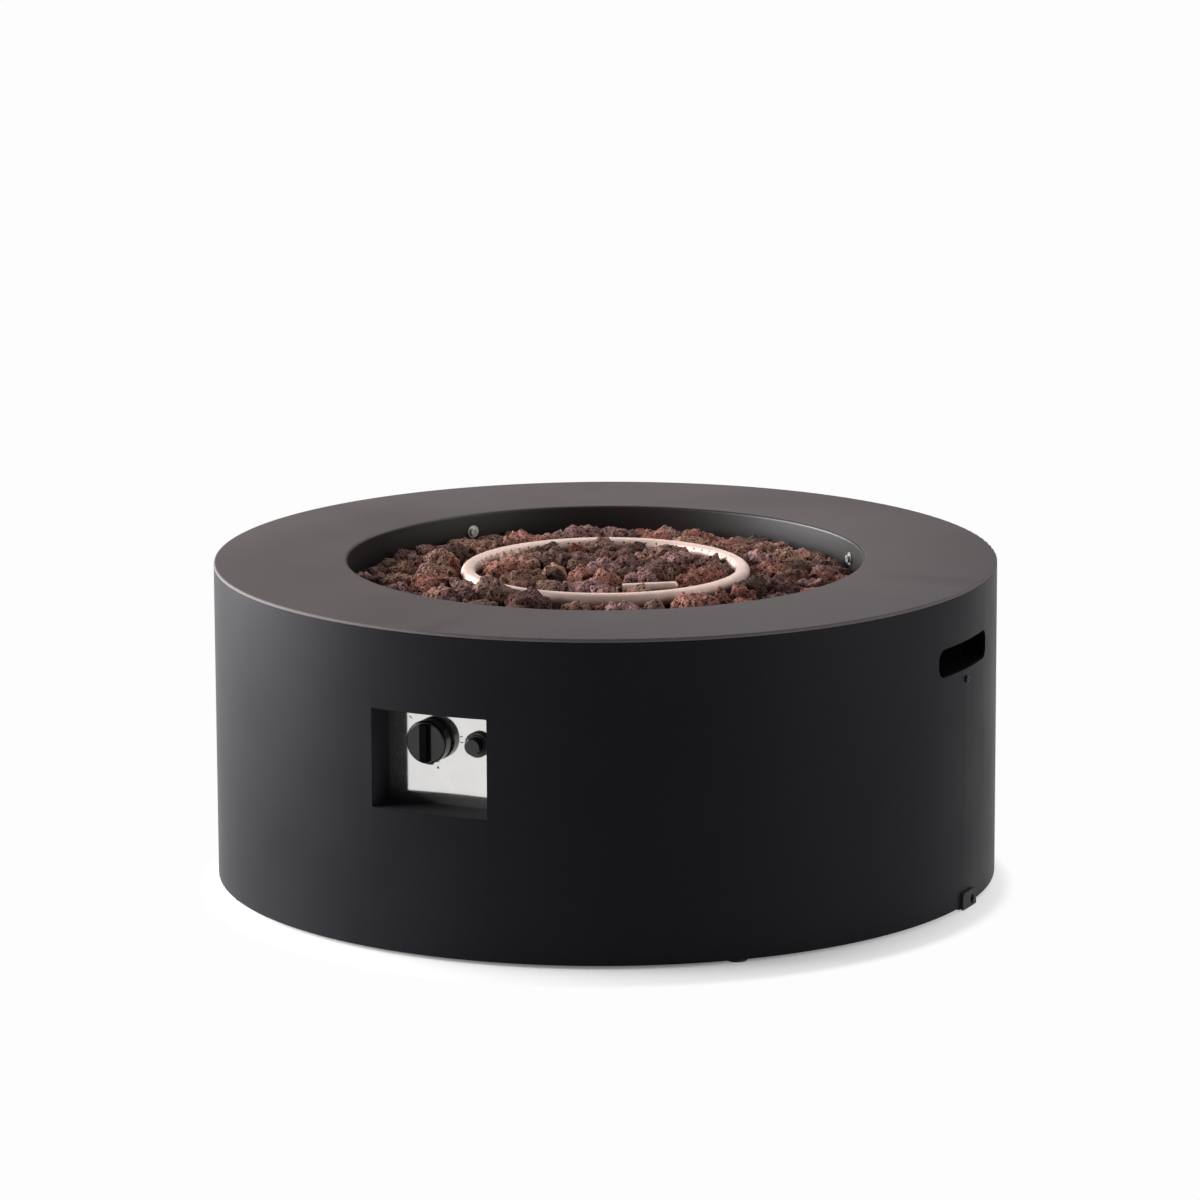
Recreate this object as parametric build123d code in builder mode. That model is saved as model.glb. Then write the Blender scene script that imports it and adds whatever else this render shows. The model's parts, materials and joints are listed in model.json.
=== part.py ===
from build123d import *
import math
import os
import numpy as np

# Propane fire pit: a low round steel drum whose top holds a burner pan filled with lava rock.
# Millimetres. +Z is up, the origin is on the floor under the drum's centre, the controls face -Y.
# An azimuth is in degrees from the front (-Y) towards the right-hand handle (+X).

# Drum
outer_diameter = 914.4
overall_height = 375.0
sheet = 1.5
foot_gap = 4.0
edge_bend = 2.5
edge_drop = 3.5
seam_gap = 0.4

# Clearances
fit_gap = 0.3
thread_gap = 0.1
contact_gap = 0.05
stem_gap = 0.06
overrun = 20.0

# Top opening and its rolled lip
opening_radius = 305.0
lip_radius = 3.5
skirt_drop = 34.0

# Hoops inside the drum, and the studs that hold the top
hoop_leg = 28.0
hoop_bend = 4.0
stud_count = 8
stud_inset = 15.0
stud_radius = 2.5
stud_length = 12.0
stud_nut_flats = 8.0
stud_nut_height = 4.7

# Feet
foot_count = 4
foot_radius = 12.0
foot_inset = 13.0
foot_stem_radius = 4.0
foot_head_radius = 6.0
foot_head_height = 3.5
foot_edge = 0.8

# Hose port in the lower edge, under the right-hand handle
port_y = 9.0
port_width = 40.0
port_top = 20.0
port_corner = 6.0
port_neck_width = 30.0
port_neck_top = 16.0
port_flange = 3.0
port_hole_radius = 5.5
port_hole_offset = 6.5
port_hole_z = 8.5
port_floor_gap = 0.5

# Handle slots
slot_width = 136.5
slot_height = 33.0
slot_drop = 75.5
slot_corner = 12.0
liner_wall = 2.5
liner_reveal = 1.2
liner_border = 8.0
liner_depth = 30.0
liner_tail = 20.5
handle_screw_drop = 12.3
handle_screw_radius = 2.0
handle_head_radius = 4.0
handle_head_height = 2.2
handle_nut_flats = 7.0
handle_nut_height = 3.2

# Control recess and panel
recess_width = 144.0
recess_height = 113.5
recess_drop = 151.25
recess_depth = 43.5
recess_corner = 1.5
box_sheet = 1.2
box_flange = 16.0
panel_sheet = 1.2
panel_screw_radius = 2.0
panel_head_radius = 4.0
panel_head_height = 2.4
panel_screw_length = 6.0

# Knob
knob_x = -17.0
knob_rise = 16.75
knob_radius = 24.75
knob_lift = 5.0
knob_base = 14.0
knob_wall = 3.0
knob_edge = 3.0
grip_width = 10.5
grip_height = 6.0
grip_edge = 2.0
pointer_width = 7.0
pointer_reach = 2.5
pointer_height = 4.0
hub_radius = 8.0
hub_bore_depth = 15.0

# Gas valve behind the panel
valve_width = 46.0
valve_depth = 38.0
valve_height = 32.0
valve_edge = 2.0
valve_face = 6.0
stem_radius = 4.0
cavity_radius = 9.0
seat_play = 1.0
seat_height = 2.5
spring_length = 14.0
spring_radius = 7.5
spring_wire = 1.2
valve_screw_spread = 13.0
valve_screw_radius = 2.0
valve_screw_bite = 7.0
valve_head_radius = 3.5
valve_head_height = 2.2
outlet_radius = 5.0
outlet_length = 12.0
outlet_inset = 14.0
outlet_shift = 10.0
inlet_shift = -11.0
inlet_inset = 18.0
inlet_flats = 19.0
inlet_hex = 8.0
inlet_radius = 7.94
inlet_length = 16.0
inlet_bore = 4.0
probe_nut_shift = 12.0
probe_nut_flats = 10.0
probe_nut_height = 8.0

# Igniter beside the knob
igniter_x = 40.0
neck_radius = 11.5
neck_proud = 8.0
collar_radius = 14.5
collar_height = 6.0
collar_grooves = 24
groove_radius = 0.9
barrel_radius = 14.0
barrel_end = 4.0
button_radius = 9.6
button_gap = 0.3
button_proud = 9.0
button_length = 19.0
button_edge = 1.2
button_spring_length = 12.0
button_spring_radius = 6.5
battery_radius = 7.25
battery_length = 50.5

# Burner pan
pan_depth = 59.0
pan_rim_drop = 12.0
pan_corner = 12.0
drain_count = 4
drain_circle = 236.0
drain_radius = 3.0
pan_screw_azimuths = (-122.0, 132.0, 58.0, -48.0)
pan_screw_drop = 22.0
pan_screw_radius = 2.4
pan_head_radius = 4.6
pan_head_height = 3.2
cross_length = 5.2
cross_width = 1.2
cross_depth = 1.6
washer_radius = 7.5
washer_height = 1.4
pan_nut_flats = 8.0
pan_nut_height = 4.0

# Ring burner
ring_radius = 160.5
ring_drop = 19.2
tube_radius = 8.5
tube_wall = 1.0
port_count = 72
port_radius = 1.2
port_tilt = 30.0
stub_collar_radius = 13.0
stub_collar_height = 3.0
stub_engagement = 16.0
leg_azimuths = (60.0, 180.0, 300.0)
leg_sheet = 2.0
leg_width = 16.0
leg_foot = 20.0
locknut_flats = 28.0
locknut_height = 7.0

# Air mixer, jet and supply tube under the pan
mixer_drop = 4.0
mixer_radius = 13.0
mixer_length = 62.0
mixer_throat = 6.0
mixer_base = 6.0
mixer_slot_width = 6.0
mixer_slot_height = 14.0
mixer_slot_rise = 12.0
jet_radius = 4.5
jet_rise = 8.0
jet_flats = 14.0
jet_hex = 10.0
jet_nipple_radius = 5.0
jet_nipple_length = 12.0
jet_bore = 2.0
jet_orifice = 0.6
jet_tip = 4.0
supply_radius = 4.0
supply_wall = 1.0
supply_drop = 44.5
supply_bend = 28.0
tube_nut_flats = 15.0
tube_nut_height = 16.0

# Ignition hood, spark electrode and flame probe inside the ring
hood_start = (61.3, -80.1)
hood_direction = (0.8, 0.6)
hood_length = 65.0
hood_radius = 5.2
hood_wall = 0.8
hood_drop = 18.0
strap_sheet = 1.5
strap_width = 12.0
strap_foot = 16.0
strap_place_share = 0.55
electrode_reach = 7.0
electrode_radius = 1.0
electrode_drop = 17.0
insulator_radius = 3.0
insulator_top = 26.0
insulator_tail = 20.0
insulator_collar = 5.5
collar_step = 3.0
rod_tail = 6.0
clip_radius = 7.0
clip_height = 1.2
probe_place = (36.0, -128.0)
probe_radius = 2.5
probe_drop = 17.0
probe_tail = 14.0
lead_radius = 2.0
capillary_radius = 1.5
spark_way_shares = ((0.0, 0.155), (0.19, 0.35), (0.45, 0.535), (0.7, 0.71), (0.955, 0.87))
spark_sags = (0.0, 14.5, 22.5, 18.5, 2.5)
spark_rise = 24.5
capillary_way_shares = ((0.0, 0.18), (0.195, 0.39), (0.44, 0.6), (0.685, 0.785), (0.88, 0.93))
capillary_sags = (0.0, 10.5, 14.5, 6.5, -11.5)
capillary_rise = 26.5

# Lava rock
stone_seed = 11
stone_draws = 320
stone_places = 900
stone_min = 15.0
stone_max = 24.0
stone_top_drop = 6.0
stone_gap = 0.3
stone_facets = 11
stone_swell_shares = (0.98, 1.28)
stone_lift_share = 1.6
stone_scatter = 7.0
stone_reach_share = 2.2
heap_radius = 195.0
heap_fall = 22.0
mound_place = (-45.0, -168.0)
mound_reach = 70.0
hood_view_shares = (0.05, 0.5, 0.95)
view_direction = (0.42, -0.87, 0.25)
view_length = 60.0
stone_colours = ("red", "brown", "dark", "violet")

# Worked out from the sizes above
outer_radius = outer_diameter / 2
half_sheet = sheet / 2
wall_top = overall_height - edge_drop - seam_gap
skirt_inner = opening_radius - lip_radius
skirt_outer = skirt_inner + sheet
hoop_radius = outer_radius - sheet - fit_gap
pan_inner = skirt_outer + fit_gap
pan_outer = pan_inner + sheet
pan_floor = overall_height - pan_depth
pan_under = pan_floor - sheet
pan_screw_z = overall_height - pan_screw_drop
stud_circle = hoop_radius - stud_inset
foot_circle = hoop_radius - foot_inset
slot_z = overall_height - slot_drop
handle_screw_z = slot_z - slot_height / 2 - handle_screw_drop
recess_z = overall_height - recess_drop
knob_z = recess_z + knob_rise
recess_edge = math.sqrt(outer_radius ** 2 - (recess_width / 2) ** 2)
panel_front = recess_depth - recess_edge
panel_back = panel_front + panel_sheet
panel_width = recess_width + 2 * box_flange
panel_height = recess_height + 2 * box_flange
panel_screw_x = panel_width - box_flange
panel_screw_y = panel_height - box_flange
knob_back = panel_front - knob_lift
knob_face = knob_back - knob_base
cavity_front = panel_back + valve_face
seat_front = cavity_front + seat_play
spring_front = seat_front + seat_height
cavity_back = spring_front + spring_length
valve_back = panel_back + valve_depth
valve_bottom = knob_z - valve_height / 2
outlet_x = knob_x + outlet_shift
outlet_y = panel_back + valve_depth - outlet_inset
outlet_end = valve_bottom - outlet_length
inlet_x = knob_x + inlet_shift
inlet_y = panel_back + inlet_inset
bore_radius = button_radius + button_gap
button_front = panel_front - neck_proud - button_proud
button_back = button_front + button_length
battery_front = button_back + button_spring_length
battery_back = battery_front + battery_length
barrel_back = battery_back + barrel_end
ring_z = overall_height - ring_drop
ring_under = ring_z - tube_radius
locknut_bottom = pan_under - locknut_height
mixer_top = locknut_bottom - mixer_drop
mixer_bottom = mixer_top - mixer_length
mixer_slot_z = mixer_bottom + mixer_base + mixer_slot_rise
stub_bottom = mixer_top - stub_engagement
jet_hex_bottom = mixer_bottom - jet_hex
jet_end = jet_hex_bottom - jet_nipple_length
supply_low_z = min(outlet_end, jet_end) - supply_drop
hood_z = overall_height - hood_drop
electrode_place = (hood_start[0] - electrode_reach * hood_direction[0],
                   hood_start[1] - electrode_reach * hood_direction[1])
electrode_top = overall_height - electrode_drop
insulator_bottom = pan_under - insulator_tail
probe_top = overall_height - probe_drop
probe_bottom = pan_under - probe_tail
stone_top = overall_height - stone_top_drop

os.makedirs("parts", exist_ok=True)


def polar(radius, azimuth, z=0):
    """Point at a radius and azimuth round the drum's axis."""
    turn = math.radians(azimuth)
    return (radius * math.sin(turn), -radius * math.cos(turn), z)


def radial_plane(radius, azimuth, z):
    """Plane that faces outwards from the drum's axis, with its y along +Z."""
    turn = math.radians(azimuth)
    return Plane(origin=polar(radius, azimuth, z),
                 x_dir=(math.cos(turn), math.sin(turn), 0),
                 z_dir=(math.sin(turn), -math.cos(turn), 0))


def side_plane(azimuth):
    """Upright plane through the drum's axis, with x along the radius and y along +Z."""
    turn = math.radians(azimuth)
    return Plane(origin=(0, 0, 0),
                 x_dir=(math.sin(turn), -math.cos(turn), 0),
                 z_dir=(-math.cos(turn), -math.sin(turn), 0))


def front_plane(y, x=0, z=0):
    """Plane that faces the front, with x to the right and y up."""
    return Plane(origin=(x, y, z), x_dir=(1, 0, 0), z_dir=(0, -1, 0))


def hexagon(across_flats):
    """Hexagon of a nut, sized across its flats."""
    RegularPolygon(across_flats / 2, side_count=6, major_radius=False)


def seat_sagitta(radius, half_width):
    """How far a flat face of a half width stands off a curved wall of a radius."""
    return radius - math.sqrt(radius ** 2 - half_width ** 2)


def lead_points(start, end, way_shares, sags, rise):
    """Points of a lead: shares of the way across and along, each hung below the start, then up to the end."""
    run = [(start[0] + across * (end[0] - start[0]), start[1] + along * (end[1] - start[1]), start[2] - sag)
           for (across, along), sag in zip(way_shares, sags)]
    return (start, *run, (end[0], end[1], end[2] - rise), end)


def bend_radii(points):
    """Largest steady bends of a lead: 0.45 of the shorter run over the tangent of half the turn."""
    run_share = 0.45
    vectors = [Vector(*b) - Vector(*a) for a, b in zip(points, points[1:])]
    radii = []
    for before, after in zip(vectors, vectors[1:]):
        turn = math.radians(before.get_angle(after))
        radii.append(run_share * min(before.length, after.length) / math.tan(turn / 2))
    return radii


# Drum wall: one rolled sheet with the control opening, two handle slots and the hose port
with BuildPart() as body_wall:
    with BuildSketch(Plane.XY.offset(foot_gap)):
        Circle(outer_radius)
        Circle(outer_radius - sheet, mode=Mode.SUBTRACT)
    extrude(amount=wall_top - foot_gap)
    with BuildSketch(front_plane(panel_front, 0, recess_z)):
        RectangleRounded(recess_width, recess_height, recess_corner)
    extrude(amount=outer_radius, mode=Mode.SUBTRACT)
    for side in (1, -1):
        with BuildSketch(Plane.YZ.offset(side * (outer_radius - overrun))):
            with Locations((0, slot_z)):
                RectangleRounded(slot_width, slot_height, slot_corner)
            with Locations((0, handle_screw_z)):
                Circle(handle_screw_radius + thread_gap)
        extrude(amount=side * 2 * overrun, mode=Mode.SUBTRACT)
    with BuildSketch(Plane.YZ.offset(outer_radius - overrun)):
        with Locations((port_y, port_neck_top)):
            Rectangle(port_neck_width, port_neck_top, align=(Align.CENTER, Align.MAX))
    extrude(amount=2 * overrun, mode=Mode.SUBTRACT)
body_wall.part.label = "body_wall"
export_step(body_wall.part, "parts/body_wall.step")

# Top ring: flat sheet with a tight outer edge, a rolled lip round the fire and weld studs below
with BuildPart() as top_ring:
    with BuildSketch(Plane.XZ):
        with BuildLine():
            FilletPolyline((outer_radius - half_sheet, overall_height - edge_drop),
                           (outer_radius - half_sheet, overall_height - half_sheet),
                           (skirt_inner + half_sheet, overall_height - half_sheet),
                           (skirt_inner + half_sheet, overall_height - skirt_drop),
                           radius=(edge_bend - half_sheet, lip_radius - half_sheet))
        trace(line_width=sheet)
    revolve(axis=Axis.Z)
    with BuildSketch(Plane.XY.offset(overall_height - sheet)):
        with PolarLocations(stud_circle, stud_count):
            Circle(stud_radius)
    extrude(amount=-stud_length)
    for azimuth in pan_screw_azimuths:
        with BuildSketch(radial_plane(skirt_inner - overrun, azimuth, pan_screw_z)):
            Circle(pan_screw_radius + thread_gap)
        extrude(amount=2 * overrun, mode=Mode.SUBTRACT)
top_ring.part.label = "top_ring"
export_step(top_ring.part, "parts/top_ring.step")

# Top hoop: rolled angle inside the wall that carries the top ring
with BuildPart() as top_hoop:
    with BuildSketch(Plane.XZ):
        with BuildLine():
            FilletPolyline((hoop_radius - half_sheet, overall_height - hoop_leg),
                           (hoop_radius - half_sheet, overall_height - sheet - half_sheet),
                           (hoop_radius - hoop_leg, overall_height - sheet - half_sheet),
                           radius=(hoop_bend,))
        trace(line_width=sheet)
    revolve(axis=Axis.Z)
    with BuildSketch(Plane.XY.offset(overall_height)):
        with PolarLocations(stud_circle, stud_count):
            Circle(stud_radius + fit_gap)
    extrude(amount=-hoop_leg, mode=Mode.SUBTRACT)
top_hoop.part.label = "top_hoop"
export_step(top_hoop.part, "parts/top_hoop.step")

# Nuts under the top hoop
with BuildPart() as top_nuts:
    with BuildSketch(Plane.XY.offset(overall_height - 2 * sheet)):
        with PolarLocations(stud_circle, stud_count):
            hexagon(stud_nut_flats)
        with PolarLocations(stud_circle, stud_count):
            Circle(stud_radius + thread_gap, mode=Mode.SUBTRACT)
    extrude(amount=-stud_nut_height)
top_nuts.part.label = "top_nuts"
export_step(top_nuts.part, "parts/top_nuts.step")

# Base hoop: rolled angle inside the lower edge, open at the hose port, with a hole for each foot
with BuildPart() as base_hoop:
    with BuildSketch(Plane.XZ):
        with BuildLine():
            FilletPolyline((hoop_radius - half_sheet, foot_gap + hoop_leg),
                           (hoop_radius - half_sheet, foot_gap + half_sheet),
                           (hoop_radius - hoop_leg, foot_gap + half_sheet),
                           radius=(hoop_bend,))
        trace(line_width=sheet)
    revolve(axis=Axis.Z)
    with BuildSketch(Plane.XY):
        with PolarLocations(foot_circle, foot_count, start_angle=180 / foot_count):
            Circle(foot_stem_radius + thread_gap)
    extrude(amount=hoop_leg / 2, mode=Mode.SUBTRACT)
    with BuildSketch(Plane.YZ.offset(hoop_radius - hoop_leg - overrun)):
        with Locations((port_y, 0)):
            Rectangle(port_width + 2 * fit_gap, 2 * (foot_gap + hoop_leg + overrun))
    extrude(amount=hoop_leg + 2 * overrun, mode=Mode.SUBTRACT)
base_hoop.part.label = "base_hoop"
export_step(base_hoop.part, "parts/base_hoop.step")

# Feet: push-in glides under the base hoop
with BuildPart() as feet:
    with BuildSketch(Plane.XY):
        with PolarLocations(foot_circle, foot_count, start_angle=180 / foot_count):
            Circle(foot_radius)
    extrude(amount=foot_gap)
    chamfer(feet.edges().group_by(Axis.Z)[0], foot_edge)
    with BuildSketch(Plane.XY.offset(foot_gap)):
        with PolarLocations(foot_circle, foot_count, start_angle=180 / foot_count):
            Circle(foot_stem_radius)
    extrude(amount=sheet)
    with BuildSketch(Plane.XY.offset(foot_gap + sheet)):
        with PolarLocations(foot_circle, foot_count, start_angle=180 / foot_count):
            Circle(foot_head_radius)
    extrude(amount=foot_head_height)
    chamfer(feet.edges().group_by(Axis.Z)[-1], foot_edge)
feet.part.label = "feet"
export_step(feet.part, "parts/feet.step")

# Hose grommet: edge moulding that follows the wall inside and outside and lets the gas hose through
with BuildPart() as hose_grommet:
    with BuildSketch(Plane.XY):
        Circle(outer_radius + fit_gap + port_flange)
        Circle(outer_radius + fit_gap, mode=Mode.SUBTRACT)
        Circle(hoop_radius)
        Circle(hoop_radius - port_flange, mode=Mode.SUBTRACT)
    extrude(amount=port_top + overrun)
    with BuildSketch(Plane.YZ.offset(outer_radius - overrun)):
        with Locations((port_y, port_floor_gap)):
            Rectangle(port_width, port_top - port_floor_gap, align=(Align.CENTER, Align.MIN))
        fillet(vertices().group_by(Axis.Y)[-1], port_corner)
    extrude(amount=2 * overrun, mode=Mode.INTERSECT)
    with BuildSketch(Plane.YZ.offset(hoop_radius - port_flange / 2)):
        with Locations((port_y, port_floor_gap)):
            Rectangle(port_neck_width - 2 * fit_gap, port_neck_top - fit_gap - port_floor_gap,
                      align=(Align.CENTER, Align.MIN))
    extrude(amount=sheet + 2 * fit_gap + port_flange)
    with BuildSketch(Plane.YZ.offset(outer_radius - overrun)):
        with Locations((port_y + port_hole_offset, port_hole_z)):
            Circle(port_hole_radius)
    extrude(amount=2 * overrun, mode=Mode.SUBTRACT)
hose_grommet.part.label = "hose_grommet"
export_step(hose_grommet.part, "parts/hose_grommet.step")

# Handle liners: moulded sleeves behind the slots, each held by a screw below its slot
sleeve_end = math.sqrt((hoop_radius - liner_wall / 2) ** 2 - (slot_width / 2 + liner_wall) ** 2)
for side, name in ((-1, "left"), (1, "right")):
    with BuildPart() as handle_liner:
        with BuildSketch(Plane.XY.offset(slot_z - 2 * slot_height)):
            Circle(hoop_radius)
            Circle(hoop_radius - liner_wall, mode=Mode.SUBTRACT)
        extrude(amount=4 * slot_height)
        with BuildSketch(Plane.YZ.offset(side * (hoop_radius - overrun))):
            with Locations((0, slot_z + slot_height / 2 + liner_border)):
                Rectangle(slot_width + 2 * liner_border, slot_height + liner_border + liner_tail,
                          align=(Align.CENTER, Align.MAX))
            fillet(vertices(), liner_border)
        extrude(amount=side * 2 * overrun, mode=Mode.INTERSECT)
        with BuildSketch(Plane.YZ.offset(side * (hoop_radius - liner_depth))):
            with Locations((0, slot_z)):
                RectangleRounded(slot_width - 2 * liner_reveal + 2 * liner_wall,
                                 slot_height - 2 * liner_reveal + 2 * liner_wall, slot_corner)
        extrude(amount=side * (sleeve_end - hoop_radius + liner_depth))
        with BuildSketch(Plane.YZ.offset(side * (hoop_radius - liner_depth - overrun))):
            with Locations((0, slot_z)):
                RectangleRounded(slot_width - 2 * liner_reveal, slot_height - 2 * liner_reveal,
                                 slot_corner - liner_reveal)
            with Locations((0, handle_screw_z)):
                Circle(handle_screw_radius + thread_gap)
        extrude(amount=side * (liner_depth + 2 * overrun), mode=Mode.SUBTRACT)
    handle_liner.part.label = f"handle_liner_{name}"
    export_step(handle_liner.part, f"parts/handle_liner_{name}.step")

# Screws below the handle slots, and their nuts
head_seat = outer_radius + contact_gap
nut_seat = hoop_radius - liner_wall - seat_sagitta(hoop_radius, handle_nut_flats) - contact_gap
with BuildPart() as handle_screws:
    for side in (1, -1):
        with BuildSketch(Plane.YZ.offset(side * head_seat)):
            with Locations((0, handle_screw_z)):
                Circle(handle_head_radius)
        extrude(amount=side * handle_head_height)
    fillet(handle_screws.edges().group_by(Axis.X)[0], handle_head_height / 2)
    fillet(handle_screws.edges().group_by(Axis.X)[-1], handle_head_height / 2)
    for side in (1, -1):
        with BuildSketch(Plane.YZ.offset(side * (nut_seat - handle_nut_height))):
            with Locations((0, handle_screw_z)):
                Circle(handle_screw_radius)
        extrude(amount=side * (head_seat - nut_seat + handle_nut_height))
        with BuildSketch(Plane.YZ.offset(side * (head_seat + handle_head_height / 2))):
            with Locations((0, handle_screw_z)):
                hexagon(handle_screw_radius)
        extrude(amount=side * handle_head_height, mode=Mode.SUBTRACT)
handle_screws.part.label = "handle_screws"
export_step(handle_screws.part, "parts/handle_screws.step")

with BuildPart() as handle_nuts:
    for side in (1, -1):
        with BuildSketch(Plane.YZ.offset(side * nut_seat)):
            with Locations((0, handle_screw_z)):
                hexagon(handle_nut_flats)
                Circle(handle_screw_radius + thread_gap, mode=Mode.SUBTRACT)
        extrude(amount=-side * handle_nut_height)
handle_nuts.part.label = "handle_nuts"
export_step(handle_nuts.part, "parts/handle_nuts.step")

# Control box: four straight walls from the drum's inner face back to the panel, with a rear flange
with BuildPart() as control_box:
    with BuildSketch(front_plane(panel_front, 0, recess_z)):
        Rectangle(recess_width + 2 * box_sheet, recess_height + 2 * box_sheet)
        Rectangle(recess_width, recess_height, mode=Mode.SUBTRACT)
    extrude(amount=outer_radius)
    with BuildSketch(Plane.XY.offset(recess_z - recess_height)):
        Circle(hoop_radius)
    extrude(amount=2 * recess_height, mode=Mode.INTERSECT)
    with BuildSketch(front_plane(panel_front, 0, recess_z)):
        Rectangle(panel_width, panel_height)
        Rectangle(recess_width, recess_height, mode=Mode.SUBTRACT)
        with GridLocations(panel_screw_x, panel_screw_y, 2, 2):
            Circle(panel_screw_radius + thread_gap, mode=Mode.SUBTRACT)
    extrude(amount=box_sheet)
control_box.part.label = "control_box"
export_step(control_box.part, "parts/control_box.step")

# Control panel: bright steel plate screwed to the back of the box
with BuildPart() as control_panel:
    with BuildSketch(front_plane(panel_front, 0, recess_z)):
        Rectangle(panel_width, panel_height)
        with GridLocations(panel_screw_x, panel_screw_y, 2, 2):
            Circle(panel_screw_radius + thread_gap, mode=Mode.SUBTRACT)
        with Locations((knob_x, knob_z - recess_z)):
            Circle(stem_radius + fit_gap, mode=Mode.SUBTRACT)
            with GridLocations(2 * valve_screw_spread, 0, 2, 1):
                Circle(valve_screw_radius + thread_gap, mode=Mode.SUBTRACT)
        with Locations((igniter_x, knob_z - recess_z)):
            Circle(neck_radius + fit_gap, mode=Mode.SUBTRACT)
    extrude(amount=-panel_sheet)
control_panel.part.label = "control_panel"
export_step(control_panel.part, "parts/control_panel.step")

# Screws through the panel into the box flange, heads behind
with BuildPart() as panel_screws:
    with BuildSketch(front_plane(panel_back, 0, recess_z)):
        with GridLocations(panel_screw_x, panel_screw_y, 2, 2):
            Circle(panel_head_radius)
    extrude(amount=-panel_head_height)
    fillet(panel_screws.edges().group_by(Axis.Y)[-1], panel_head_height / 2)
    with BuildSketch(front_plane(panel_back, 0, recess_z)):
        with GridLocations(panel_screw_x, panel_screw_y, 2, 2):
            Circle(panel_screw_radius)
    extrude(amount=panel_screw_length)
panel_screws.part.label = "panel_screws"
export_step(panel_screws.part, "parts/panel_screws.step")

# Knob: deep hollow disc with a low grip bar, a pointer at its lower end and a hub for the stem
with BuildPart() as knob:
    with BuildSketch(front_plane(knob_back, knob_x, knob_z)):
        Circle(knob_radius)
    extrude(amount=knob_base)
    fillet(knob.edges().group_by(Axis.Y)[0], knob_edge)
    with BuildSketch(front_plane(knob_face, knob_x, knob_z)):
        Circle(knob_radius - knob_edge)
        Rectangle(grip_width, 2 * knob_radius, mode=Mode.INTERSECT)
    extrude(amount=grip_height)
    fillet(knob.edges().group_by(Axis.Y)[0], grip_edge)
    with BuildSketch(front_plane(knob_back, knob_x, knob_z)):
        with Locations((0, -knob_radius - pointer_reach)):
            Rectangle(pointer_width, knob_radius, align=(Align.CENTER, Align.MIN))
    extrude(amount=pointer_height)
    with BuildSketch(front_plane(knob_back, knob_x, knob_z)):
        Circle(knob_radius - knob_wall)
        Circle(hub_radius, mode=Mode.SUBTRACT)
    extrude(amount=knob_base - knob_wall, mode=Mode.SUBTRACT)
    with BuildSketch(front_plane(knob_back, knob_x, knob_z)):
        Circle(stem_radius + stem_gap)
    extrude(amount=hub_bore_depth, mode=Mode.SUBTRACT)
knob.part.label = "knob"
export_step(knob.part, "parts/knob.step")

# Valve stem: turns and pushes with the knob
with BuildPart() as valve_stem:
    with BuildSketch(front_plane(seat_front, knob_x, knob_z)):
        Circle(stem_radius)
    extrude(amount=seat_front - knob_back + hub_bore_depth)
valve_stem.part.label = "valve_stem"
export_step(valve_stem.part, "parts/valve_stem.step")

# Spring seat: thrust washer behind the stem, which slides but does not turn
with BuildPart() as spring_seat:
    with BuildSketch(front_plane(seat_front, knob_x, knob_z)):
        Circle(cavity_radius - fit_gap)
    extrude(amount=-seat_height)
spring_seat.part.label = "spring_seat"
export_step(spring_seat.part, "parts/spring_seat.step")

# Return spring of the stem, as the sleeve that its coils fill
with BuildPart() as stem_spring:
    with BuildSketch(front_plane(spring_front, knob_x, knob_z)):
        Circle(spring_radius)
        Circle(spring_radius - spring_wire, mode=Mode.SUBTRACT)
    extrude(amount=-spring_length)
stem_spring.part.label = "stem_spring"
export_step(stem_spring.part, "parts/stem_spring.step")

# Gas valve: cast block with the stem bore, the spring cavity and a downward outlet
with BuildPart() as gas_valve:
    with BuildSketch(front_plane(panel_back, knob_x, knob_z)):
        Rectangle(valve_width, valve_height)
    extrude(amount=-valve_depth)
    fillet(gas_valve.edges().filter_by(Axis.Y), valve_edge)
    with BuildSketch(Plane.XY.offset(valve_bottom)):
        with Locations((outlet_x, outlet_y)):
            Circle(outlet_radius)
    extrude(amount=-outlet_length)
    with BuildSketch(front_plane(cavity_front, knob_x, knob_z)):
        Circle(cavity_radius)
    extrude(amount=cavity_front - cavity_back, mode=Mode.SUBTRACT)
    with BuildSketch(front_plane(cavity_front, knob_x, knob_z)):
        Circle(stem_radius + stem_gap)
    extrude(amount=valve_face, mode=Mode.SUBTRACT)
    with BuildSketch(front_plane(panel_back, knob_x, knob_z)):
        with GridLocations(2 * valve_screw_spread, 0, 2, 1):
            Circle(valve_screw_radius + thread_gap)
    extrude(amount=-valve_screw_bite, mode=Mode.SUBTRACT)
    with BuildSketch(Plane.XY.offset(outlet_end)):
        with Locations((outlet_x, outlet_y)):
            Circle(supply_radius - supply_wall)
    extrude(amount=outlet_length, mode=Mode.SUBTRACT)
gas_valve.part.label = "gas_valve"
export_step(gas_valve.part, "parts/gas_valve.step")

# Screws that hold the valve, hidden under the knob
with BuildPart() as valve_screws:
    with BuildSketch(front_plane(panel_front, knob_x, knob_z)):
        with GridLocations(2 * valve_screw_spread, 0, 2, 1):
            Circle(valve_head_radius)
    extrude(amount=valve_head_height)
    with BuildSketch(front_plane(panel_front, knob_x, knob_z)):
        with GridLocations(2 * valve_screw_spread, 0, 2, 1):
            Circle(valve_screw_radius)
    extrude(amount=-panel_sheet - valve_screw_bite)
valve_screws.part.label = "valve_screws"
export_step(valve_screws.part, "parts/valve_screws.step")

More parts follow.
